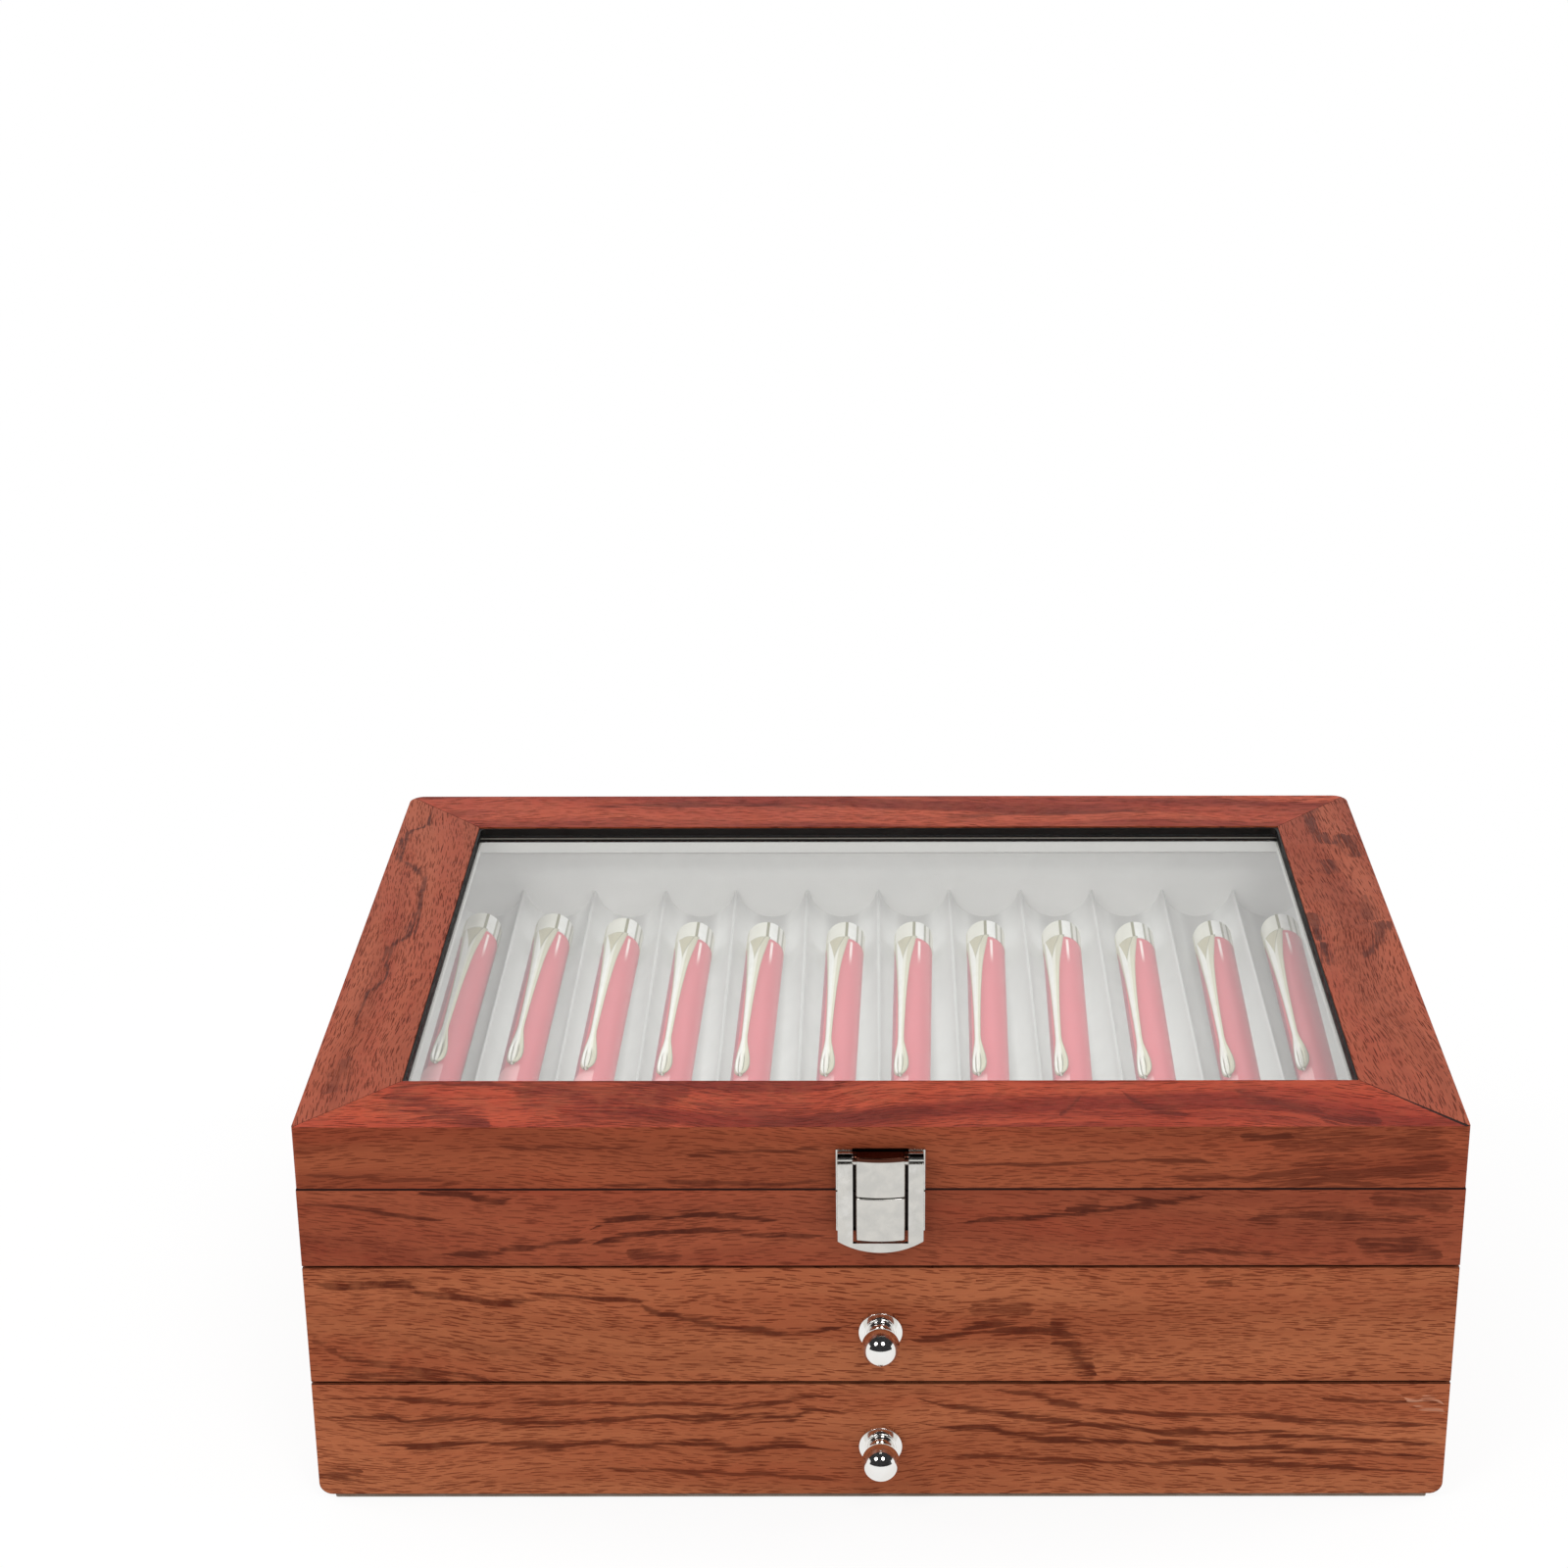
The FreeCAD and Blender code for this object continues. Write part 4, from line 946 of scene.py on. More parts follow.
class Bench:
    """Modelling steps that the pieces share, done with Blender's own tools."""

    @staticmethod
    def clear() -> None:
        """Leave edit mode and select nothing."""
        if bpy.context.object is not None and bpy.context.object.mode != "OBJECT":
            bpy.ops.object.mode_set(mode="OBJECT")
        bpy.ops.object.select_all(action="DESELECT")

    @classmethod
    def only(cls, piece: Piece) -> None:
        """Make the piece the only selected and the active one."""
        cls.clear()
        piece.select_set(True)
        bpy.context.view_layer.objects.active = piece

    @staticmethod
    def take(name: str) -> Piece:
        """Name the primitive that was just added, and put its place into its mesh."""
        piece = bpy.context.object
        piece.name = name
        piece.data.name = name
        bpy.ops.object.transform_apply(location=True, rotation=True, scale=True)
        return piece

    @classmethod
    def block(cls, name: str, low: Place, high: Place) -> Piece:
        """Add a cube and size it to lie between two corners.

        Args:
            name: Name of the piece.
            low: Lowest corner, in millimetres.
            high: Highest corner, in millimetres.

        Returns:
            The piece.
        """
        cls.clear()
        middle = [(a + b) / 2 * MM for a, b in zip(low, high)]
        size = [(b - a) * MM for a, b in zip(low, high)]
        bpy.ops.mesh.primitive_cube_add(size=1, location=middle)
        bpy.context.object.scale = size
        return cls.take(name)

    @classmethod
    def drum(cls, name: str, centre: Place, radius: float, length: float, axis: str, sides: int = 48,
             ends: str = "NGON") -> Piece:
        """Add a cylinder whose middle lies at centre.

        Args:
            name: Name of the piece.
            centre: Middle of the cylinder, in millimetres.
            radius: Radius in millimetres.
            length: Length in millimetres.
            axis: "X", "Y" or "Z".
            sides: Number of sides.
            ends: How the ends are filled.

        Returns:
            The piece.
        """
        cls.clear()
        turn = {"X": (0, math.pi / 2, 0), "Y": (math.pi / 2, 0, 0), "Z": (0, 0, 0)}[axis]
        bpy.ops.mesh.primitive_cylinder_add(
            vertices=sides, radius=radius * MM, depth=length * MM, end_fill_type=ends,
            location=[part * MM for part in centre], rotation=turn)
        return cls.take(name)

    @classmethod
    def edit(cls, piece: Piece, kind: str = "faces", test: Test | None = None) -> None:
        """Open the piece in edit mode with everything selected, or only what passes a test.

        Args:
            piece: Piece to open.
            kind: "faces", "edges" or "verts".
            test: Says of each element whether it is picked.
        """
        cls.only(piece)
        bpy.ops.object.mode_set(mode="EDIT")
        bpy.ops.mesh.select_mode(type={"faces": "FACE", "edges": "EDGE", "verts": "VERT"}[kind])
        bpy.ops.mesh.select_all(action="SELECT")
        if test is not None:
            cls.pick(piece, kind, test)

    @staticmethod
    def close() -> None:
        """Leave edit mode, with the piece still active."""
        bpy.ops.object.mode_set(mode="OBJECT")

    @staticmethod
    def pull(x: float = 0.0, y: float = 0.0) -> None:
        """Extrude what is selected by a step in millimetres."""
        bpy.ops.mesh.extrude_region_move(TRANSFORM_OT_translate={"value": (x * MM, y * MM, 0)})

    @staticmethod
    def pick(piece: Piece, kind: str, test: Test) -> None:
        """Select the faces, edges or verts that pass a test, and nothing else.

        Args:
            piece: Piece in edit mode.
            kind: "faces", "edges" or "verts".
            test: Says of each element whether it is picked.
        """
        shape = bmesh.from_edit_mesh(piece.data)
        bpy.ops.mesh.select_all(action="DESELECT")
        for element in getattr(shape, kind):
            if test(element):
                element.select_set(True)
        shape.select_flush_mode()
        bmesh.update_edit_mesh(piece.data)

    @classmethod
    def modify(cls, piece: Piece, kind: str, **settings: object) -> None:
        """Add a modifier, set it and apply it."""
        cls.only(piece)
        modifier = piece.modifiers.new(kind.lower(), kind)
        for name, value in settings.items():
            setattr(modifier, name, value)
        bpy.ops.object.modifier_apply(modifier=modifier.name)

    @classmethod
    def ease(cls, piece: Piece, width: float, segments: int = 2, angle: float = 30.0) -> None:
        """Round the sharp edges of a piece by a width in millimetres."""
        cls.modify(piece, "BEVEL", width=width * MM, segments=segments, limit_method="ANGLE",
                   angle_limit=math.radians(angle), use_clamp_overlap=True, miter_outer="MITER_ARC",
                   harden_normals=False)

    @classmethod
    def smooth(cls, piece: Piece, angle: float = 35.0) -> None:
        """Shade a piece smooth except at its sharper edges, with its large faces kept flat."""
        cls.only(piece)
        bpy.ops.object.shade_smooth_by_angle(angle=math.radians(angle))
        cls.modify(piece, "WEIGHTED_NORMAL", keep_sharp=True, weight=50)

    @classmethod
    def outward(cls, piece: Piece) -> None:
        """Merge doubled points and turn every face outwards."""
        cls.edit(piece)
        bpy.ops.mesh.remove_doubles(threshold=1e-6)
        bpy.ops.mesh.normals_make_consistent(inside=False)
        cls.close()

    @classmethod
    def join(cls, name: str, parts: list[Piece]) -> Piece:
        """Join several parts into one piece."""
        cls.clear()
        for part in parts:
            part.select_set(True)
        bpy.context.view_layer.objects.active = parts[0]
        bpy.ops.object.join()
        joined = bpy.context.object
        joined.name = name
        joined.data.name = name
        return joined

    @classmethod
    def copy_node(cls, node: str, name: str) -> Piece:
        """Copy the mesh of a CAD node and merge its loose triangles into clean faces.

        Args:
            node: Name of the CAD node.
            name: Name of the new piece.

        Returns:
            The new piece.
        """
        piece = bpy.data.objects.new(name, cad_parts[node].data.copy())
        bpy.context.scene.collection.objects.link(piece)
        piece.data.name = name
        piece.data.materials.clear()
        cls.only(piece)
        if piece.data.has_custom_normals:
            bpy.ops.mesh.customdata_custom_splitnormals_clear()
        cls.edit(piece)
        bpy.ops.mesh.remove_doubles(threshold=2e-6)
        bpy.ops.mesh.mark_sharp(clear=True)
        bpy.ops.mesh.dissolve_limited(angle_limit=math.radians(0.5))
        cls.close()
        return piece

    @classmethod
    def redress(cls, node: str, suffix: str, body: str, slot: str, material: Material, width: float,
                segments: int = 2, angle: float = 30.0) -> None:
        """Copy a CAD node, round its edges and put the copy in its place.

        Args:
            node: Name of the CAD node.
            suffix: End of the piece's name.
            body: Body that the piece rides on.
            slot: Kind of material; it is not used.
            material: Finish of the piece.
            width: Width of the rounding in millimetres.
            segments: Steps of the rounding.
            angle: Edges sharper than this are rounded, in degrees.
        """
        piece = cls.copy_node(node, f"{node}_{suffix}")
        cls.ease(piece, width, segments, angle)
        cls.smooth(piece)
        cls.settle(piece, body, slot, [node], material)

    @staticmethod
    def settle(piece: Piece, body: str, slot: str, nodes: Iterable[str], material: Material) -> None:
        """Give a finished piece its material and its body, and hide the CAD nodes that it stands for."""
        piece.data.materials.clear()
        piece.data.materials.append(material)
        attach(piece, body)
        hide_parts(*nodes)
        log.info("%s: %d faces on %s", piece.name, len(piece.data.polygons), body)


# ---------------------------------------------------------------------------
# Veneered boards
# ---------------------------------------------------------------------------


def veins(*rows: tuple[float, ...]) -> tuple[Stroke, ...]:
    """Read veins from rows of half width, strength and then each spot's place along and across."""
    return tuple(Stroke(tuple(zip(row[2::2], row[3::2])), row[0], row[1]) for row in rows)


VEINS: dict[str, tuple[Stroke, ...]] = {
    "lid_front_rail": veins(
        (0.5, 0.8, -84.7, 107.8, -59.3, 109.7, -36.8, 109, -14.3, 110.8),
        (0.5, 0.7, -57.9, 118.9, -36.7, 120, -16.6, 120.6),
        (0.6, 0.5, -168.7, 112.4, -141.7, 111.1, -120.2, 109.8),
        (1.3, 0.8, 102.9, 125.1, 119.6, 124.6),
        (3, 0.55, 105.5, 111.8, 138.7, 112.4, 166.8, 115.6),
        (2.6, 0.45, 110.7, 122.1, 138.9, 123.3, 166.3, 122.7),
        (0.5, 0.7, 17.4, 115.8, 46.7, 115.7, 79.8, 117, 100.6, 114.7),
        (0.8, 0.6, 80, 111.5, 114.1, 110.8, 148.3, 108.5),
        (0.5, 0.6, -112.7, 122.4, -90.2, 121, -67.5, 122),
    ),
    "top_front_rail": veins(
        (0.8, 1, -86.1, 93.4, -74.8, 97.4, -67.6, 98.3, -49.3, 99.2, -37, 97.4, -27.9, 97.4),
        (0.9, 1, -85.8, 88.4, -83.1, 89.7, -71.8, 92.1, -62.6, 93.7, -47.2, 93.3, -28.8, 91.5, -13.6, 92.3),
        (0.8, 0.9, -135.5, 106.2, -120.4, 105.7, -116.2, 103.9, -106.2, 104.5),
        (0.6, 0.8, -169.4, 102.6, -154.1, 101.3, -139, 98.7, -125.8, 97),
        (0.8, 0.8, -129.4, 85.8, -119.2, 86.2, -106.9, 87.4, -85.3, 91.5),
        (1.4, 0.6, -75.1, 86.2, -57.6, 85.1),
        (0.8, 0.95, 21.9, 96, 37.3, 97.8, 55, 99.1, 68.6, 101.1, 80.4, 103.1, 96.1, 105),
        (1.5, 0.8, 53.2, 100.4, 64.6, 102),
        (1.7, 0.7, 106, 97.2, 126.6, 98.7, 141.7, 97.7, 161, 98.8),
        (2.8, 0.7, 138, 89.5, 151.1, 88.6, 165.5, 84.5),
        (0.6, 0.8, 83.6, 87.2, 106.6, 86.2, 118.1, 85.2),
        (2.6, 0.6, 141.4, 104.6, 167.7, 102.6),
    ),
    "upper_drawer_front": veins(
        (1, 1, -168.7, 75.6, -155.8, 75.4, -140.4, 75.6, -136.5, 73.1, -130.2, 71.5, -120, 70.2, -109.8, 69.6,
         -100.5, 70.1),
        (1.2, 1, -107.6, 72.6, -97.2, 72.1, -83.8, 70.7, -73.6, 70.1, -67.4, 66, -58.1, 64.1, -47.9, 61.1,
         -37.6, 59.9, -27.2, 58.6, -16.8, 59.9, -4.2, 62.9),
        (1, 0.8, -164.6, 52.2, -156.5, 49.6, -147.3, 47.2, -131.6, 45.3, -115.1, 42.2),
        (1, 0.8, -161.7, 45, -147.5, 43.6, -126.5, 42.6),
        (1.3, 1, 7.7, 56.5, 17.9, 57, 25.9, 59.3, 30.8, 61, 43.9, 59.8, 50.9, 59.8, 57.1, 57.4),
        (3.2, 1, 49.2, 60.5, 53.6, 58.1, 57.2, 53.4, 60.5, 47.9, 64.7, 43.8),
        (1.4, 0.6, 25, 66.9, 35.1, 67.6, 46.1, 66.6),
        (0.9, 0.9, 95.5, 76, 104.2, 75.6),
        (1.2, 0.6, -169.1, 56.3, -161.2, 52.2),
    ),
    "lower_drawer_front": veins(
        (0.6, 0.9, -168.8, 35.5, -156.2, 36.1, -137.4, 35.5, -128.1, 34.3, -100.8, 34.5, -69.4, 34.3,
         -48.4, 33.6, -38, 33.5, -25.4, 36, -6.6, 37.3),
        (0.9, 0.95, -169.3, 28.5, -161, 29.5, -147.2, 29.5, -141.1, 27.5, -124.2, 28.8, -106.4, 27.4, -85.3, 28,
         -69.5, 29.5, -48.5, 29.5, -27.5, 29.4, -20.1, 31.5, -6.6, 29.7),
        (1, 0.95, -158.4, 18.8, -143.6, 19.4, -135.2, 19.1, -122.4, 20.2, -101.4, 19.3, -85.6, 20, -67.7, 19.3,
         -53.9, 20.7, -41.3, 18, -27.6, 19.3, -17.1, 17.5, -6.7, 17.9),
        (1.4, 0.7, -172.2, 8.2, -156, 9.9),
        (0.6, 0.7, -88.1, 11.3, -59.4, 9.9, -43.7, 9.2, -8.5, 6.7),
        (0.8, 0.85, 28.1, 39.4, 48.2, 36.9, 51.4, 35.2, 68.5, 31.5, 83.8, 30.3, 99.1, 29.7, 106.1, 30.3,
         119.4, 29, 139.7, 27.3, 171.2, 26.1),
        (0.9, 0.95, 7.5, 37, 18, 33.9, 28.2, 32.1, 38.3, 30.4, 50.4, 27.9, 79, 25.1, 89, 23.7, 109.3, 23.7,
         129.7, 22.5, 150.1, 20.6, 171.6, 19.5),
        (1, 1, 7.5, 28, 18.1, 26.2, 30.1, 25.5, 40.5, 23.1, 53.7, 21.3, 77.1, 20.1, 99.6, 18.3, 119.9, 18.1,
         136.2, 17, 172, 14.5),
        (0.6, 0.8, 12.2, 13.6, 26.3, 15.4, 43.6, 14.7, 61.9, 13.6, 96.7, 12.9, 109.8, 13.2, 125.2, 12.5,
         139.5, 11.1, 172.3, 9.1),
        (1.1, 0.9, 92, 13.8, 113.9, 13.2, 130, 11.7, 148, 10.6),
        (0.7, 0.9, 130.2, 36.2, 149.3, 34.8, 169.5, 34.4),
    ),
    "lid_front_top": veins(
        (4, 0.7, -146.9, -104.1, -136.3, -107.6, -127.8, -113.3, -118.4, -118.8, -111.5, -121.7),
        (0.8, 0.7, -146.5, -99.6, -125.8, -96.2, -107.6, -98.5, -96.8, -106.5),
        (6.5, 0.6, -109.5, -98.5, -84.9, -103, -54.3, -102.1),
        (3.5, 0.5, -94.8, -115.7, -72.7, -117.7, -57.3, -120.1),
        (4, 0.55, -58.1, -106.6, -40.1, -113.5, -20.3, -116.7, 6.2, -114.4, 20.4, -113.3),
        (1.5, 0.7, 51.6, -115.7, 55.3, -111, 59.2, -103.9),
        (1.5, 0.7, 70.5, -99.6, 78.4, -111.1, 90, -115.6),
        (3, 0.6, 103.8, -99.7, 109.9, -105.2, 118, -110, 130.4, -115.7),
        (2.5, 0.75, 126.6, -117.9, 145.4, -119.1),
    ),
    "lid_back_top": veins(
        (1.6, 0.6, -110, 112, -70, 114.5, -20, 110),
        (1.2, 0.6, 20, 103, 60, 106.5, 100, 108),
    ),
    "lid_left_rail": veins(
        (0.9, 1, -66.2, -162.9, -56.6, -161.7, -45.5, -161.9, -36.4, -160.7, -29.6, -158.2, -22.6, -157.2,
         -10.7, -159, -1, -157.8, 6.4, -154.5, 18.9, -153.6, 34.4, -154.2, 46.3, -154.8, 54.4, -157.6,
         62.6, -162.6, 69.8, -166.6, 80.8, -167, 91.1, -165.6, 98.1, -160.7, 113.3, -161.1),
        (2.2, 0.5, -103.4, -163.8, -91.3, -161.4, -77.7, -160.1),
    ),
    "lid_right_rail": veins(
        (1.3, 0.8, 86.8, 153.4, 97, 154.2, 113, 155.7),
        (2, 0.8, 78, 159.1, 83.1, 157.1, 90, 155),
        (2.2, 0.85, 66.2, 165.6, 77.1, 165.2, 88.3, 163.4),
        (1.8, 0.8, 52.3, 154.4, 66.2, 155.6),
        (1.8, 1, -0.9, 143.6, 11.7, 143.4, 23.1, 143.4),
        (2.4, 1, -18.3, 144.3, -8.2, 144.5, 0.5, 144.1),
        (2.4, 0.75, -12.6, 156.1, -5.4, 160.1, 6.4, 164.5, 16.9, 167.2),
        (2.2, 0.5, 15.4, 163.1, 26.1, 163.4, 37.1, 164.1),
    ),
}
SCUFFS = veins(
    (0.6, 0.55, 156, 36.2, 160, 34.9, 163, 35.8, 169, 33.2),
    (0.5, 0.4, 159, 33.4, 164, 32.2, 169.5, 31),
)


@dataclass
class VeneeredBoards:
    """Case sides, back, front rail, lid rails and drawer fronts, with their edges eased."""

    lid_ease: float = 0.22
    case_ease: float = 0.35

    def finishes(self) -> dict[str, tuple[str, float, Veneer]]:
        """Name the body, eased width and veneer of each board."""
        front_top = Veneer("lid_front_top", RED_TONES, Grain.TOP_ACROSS, 2.0, VEINS["lid_front_top"],
                           wave=1.7, contrast=1.7)
        back_top = Veneer("lid_back_top", BACK_TONES, Grain.TOP_ACROSS, 5.2, VEINS["lid_back_top"],
                          wave=1.4, contrast=1.5)
        plans = (
            ("lid_front_rail", "lid", BAND_TONES, Grain.FRONT, 1.1, {
                "streaks": 0.5, "pores": 0.75, "face": front_top, "joint": LID_SEAM,
                "open_mitre": ((142.0, -94.5), (170.0, FRONT_FACE))}),
            ("lid_back_rail", "lid", BAND_TONES, Grain.FRONT, 4.4, {"face": back_top}),
            ("lid_left_rail", "lid", ORANGE_TONES, Grain.TOP_BACKWARD, 7.3, {"streaks": 0.3}),
            ("lid_right_rail", "lid", ORANGE_TONES, Grain.TOP_BACKWARD, 9.6, {"streaks": 0.35}),
            ("top_front_rail", "case", RAIL_TONES, Grain.FRONT, 2.7, {
                "streaks": 0.5, "pores": 0.75, "joint": LID_SEAM}),
            ("upper_drawer_front", "upper_drawer", UPPER_TONES, Grain.FRONT, 3.3, {"streaks": 0.35}),
            ("lower_drawer_front", "lower_drawer", LOW_TONES, Grain.FRONT, 6.1, {
                "pores": 0.9, "streaks": 0.4, "scuffs": SCUFFS}),
            ("left_side_panel", "case", DRAWER_TONES, Grain.SIDE, 11.2, {"streaks": 0.9}),
            ("right_side_panel", "case", DRAWER_TONES, Grain.SIDE, 13.7, {"streaks": 0.9}),
            ("back_panel", "case", DRAWER_TONES, Grain.FRONT, 15.4, {"streaks": 0.9}),
        )
        return {node: (body, self.lid_ease if body == "lid" else self.case_ease, Veneer(
            f"veneer_{node}", tones, grain, figure, VEINS.get(node, ()), **extra))
                for node, body, tones, grain, figure, extra in plans}

    def build(self) -> None:
        """Ease the edges of every board and veneer it."""
        for node, (body, width, veneer) in self.finishes().items():
            Bench.redress(node, "veneered", body, "veneered_wood", veneer.material(), width)


# ---------------------------------------------------------------------------
# Flocked linings and trays
# ---------------------------------------------------------------------------


@dataclass
class PenTray:
    """Corrugated insert of one tray, with a flocked surface."""

    prefix: str
    body: str
    channels: int
    tip: float = 1.0
    relief: float = 0.15
    skin: float = 0.9
    rounding: float = 0.42

    def build(self, material: Material) -> None:
        """Shape one channel, repeat it across the tray and give it a thickness.

        Args:
            material: Flock of the insert.
        """
        low, high = (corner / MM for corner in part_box(f"{self.prefix}_ridges"))
        pitch = (high.x - low.x) / self.channels
        half = (pitch - self.tip) / 2
        depth = high.z - low.z + self.relief
        radius = (half * half + depth * depth) / (2 * depth)
        centre = (low.x + pitch / 2, (low.y + high.y) / 2, low.z - self.relief + radius)
        piece = Bench.drum(f"{self.prefix}_insert", centre, radius, high.y - low.y, "Y", 96, "NOTHING")
        Bench.edit(piece)
        bpy.ops.mesh.bisect(plane_co=(0, 0, high.z * MM), plane_no=(0, 0, 1), clear_outer=True)
        for side in (-1, 1):
            edge = Vector((centre[0] + side * half, 0, high.z)) * MM
            Bench.pick(piece, "edges", lambda e: all(
                abs(v.co.x - edge.x) < 2e-5 and abs(v.co.z - edge.z) < 1e-5 for v in e.verts))
            Bench.pull(x=side * self.tip / 2)
        Bench.close()
        Bench.modify(piece, "ARRAY", count=self.channels, use_relative_offset=False,
                     use_constant_offset=True, constant_offset_displace=(pitch * MM, 0, 0),
                     use_merge_vertices=True, merge_threshold=2e-5)
        Bench.outward(piece)
        self.face_up(piece)
        Bench.ease(piece, self.rounding, segments=3, angle=40)
        Bench.modify(piece, "SOLIDIFY", thickness=self.skin * MM, offset=-1.0)
        Bench.smooth(piece, 50)
        Bench.settle(piece, self.body, "grey_lining", [f"{self.prefix}_ridges", f"{self.prefix}_card"],
                     material)

    @staticmethod
    def face_up(piece: Piece) -> None:
        """Turn the open sheet so that its faces look upwards."""
        if sum(face.normal.z * face.area for face in piece.data.polygons) < 0:
            Bench.edit(piece)
            bpy.ops.mesh.flip_normals()
            Bench.close()


@dataclass
class Linings:
    """Flocked boards round the top tray and the strips that hold the glass."""

    board_ease: float = 0.7
    bead_ease: float = 0.25
    bead_drop: float = 0.8

    def build(self, lining: Material, bead: Material) -> None:
        """Round the boards' edges and flock them.

        Args:
            lining: Flock of the boards.
            bead: Flock of the strips under the glass.
        """
        for side in ("front", "back", "left", "right"):
            for node, body, width, material in ((f"{side}_lining", "case", self.board_ease, lining),
                                                (f"{side}_glass_bead", "lid", self.bead_ease, bead)):
                piece = Bench.copy_node(node, f"{node}_flocked")
                if body == "lid":
                    self.deepen(piece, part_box(node)[0].z)
                Bench.ease(piece, width, segments=3)
                Bench.smooth(piece)
                Bench.settle(piece, body, "grey_lining", [node], material)

    def deepen(self, piece: Piece, foot: float) -> None:
        """Lower the underside of a glass bead, so that it closes the view above the lining."""
        Bench.edit(piece, "verts", lambda v: abs(v.co.z - foot) < 2e-5)
        bpy.ops.transform.translate(value=(0, 0, -self.bead_drop * MM))
        Bench.close()


# ---------------------------------------------------------------------------
# Latch
# ---------------------------------------------------------------------------


@dataclass
class Latch:
    """Hasp with an upper plate, a lower keeper and a U-shaped flap."""

    plate_half: float = 13.0
    block_half: float = 7.1
    wood_face: float = FRONT_FACE
    plate_thick: float = 1.0
    projection: float = 5.7
    bow: float = 0.75
    seam: float = LID_SEAM
    gap: float = 0.15
    plate_height: float = 13.7
    block_height: float = 13.3
    keeper_height: float = 14.3
    pin_height: float = 119.5
    pin_face: float = -125.7
    boss_end: float = 7.95
    boss_overlap: float = 0.4
    curl: float = 1.95
    edge: float = 0.28
    pin_edge: float = 0.15
    block_edge: float = 0.4

    def half(self, name: str, plate: Span, block: Span) -> list[Piece]:
        """Model a plate and its raised, slightly bowed block.

        Args:
            name: Name of the half.
            plate: Lowest and highest edge of the plate.
            block: Lowest and highest edge of the block.

        Returns:
            The plate and the block.
        """
        front = self.wood_face - self.plate_thick
        sheet = Bench.block(f"{name}_sheet", (-self.plate_half, front, plate[0]),
                            (self.plate_half, self.wood_face, plate[1]))
        Bench.ease(sheet, self.edge)
        raised = Bench.block(f"{name}_raised", (-self.block_half, self.wood_face - self.projection, block[0]),
                             (self.block_half, front, block[1]))
        Bench.edit(raised, "edges", lambda e: abs(e.verts[0].co.x - e.verts[1].co.x) > MM)
        bpy.ops.mesh.subdivide(number_cuts=11)
        Bench.close()
        for point in raised.data.vertices:
            if point.co.y < front * MM - 1e-5:
                point.co.y += self.bow * MM * (point.co.x / (self.block_half * MM)) ** 2
        Bench.ease(raised, self.block_edge, segments=3, angle=40)
        return [sheet, raised]

    def build(self, nickel: Material) -> None:
        """Model the latch.

        Args:
            nickel: Finish of the latch.
        """
        foot, top = self.seam + self.gap, self.seam - self.gap
        plate = self.half("latch_plate", (foot, self.seam + self.plate_height),
                          (foot, self.seam + self.block_height))
        for side in (-1, 1):
            middle = side * (self.block_half + self.boss_end) / 2
            boss = Bench.drum("latch_boss", (middle, self.pin_face, self.pin_height), self.curl,
                              self.boss_end - self.block_half + self.boss_overlap, "X", 40)
            Bench.ease(boss, self.pin_edge)
            plate.append(boss)
        keeper = self.half("latch_keeper", (self.seam - self.block_height, top),
                           (self.seam - self.keeper_height, top))
        for node, body, parts in (("latch_plate", "lid", plate), ("latch_keeper", "case", keeper)):
            piece = Bench.join(f"{node}_nickel", parts)
            Bench.smooth(piece)
            Bench.settle(piece, body, "satin_steel", [node], nickel)
        Bench.redress("latch_flap", "nickel", "flap", "satin_steel", nickel, self.edge, segments=3, angle=40)
        Bench.redress("latch_pin", "nickel", "lid", "satin_steel", nickel, self.pin_edge, angle=60)


# ---------------------------------------------------------------------------
# Knobs and drawers
# ---------------------------------------------------------------------------


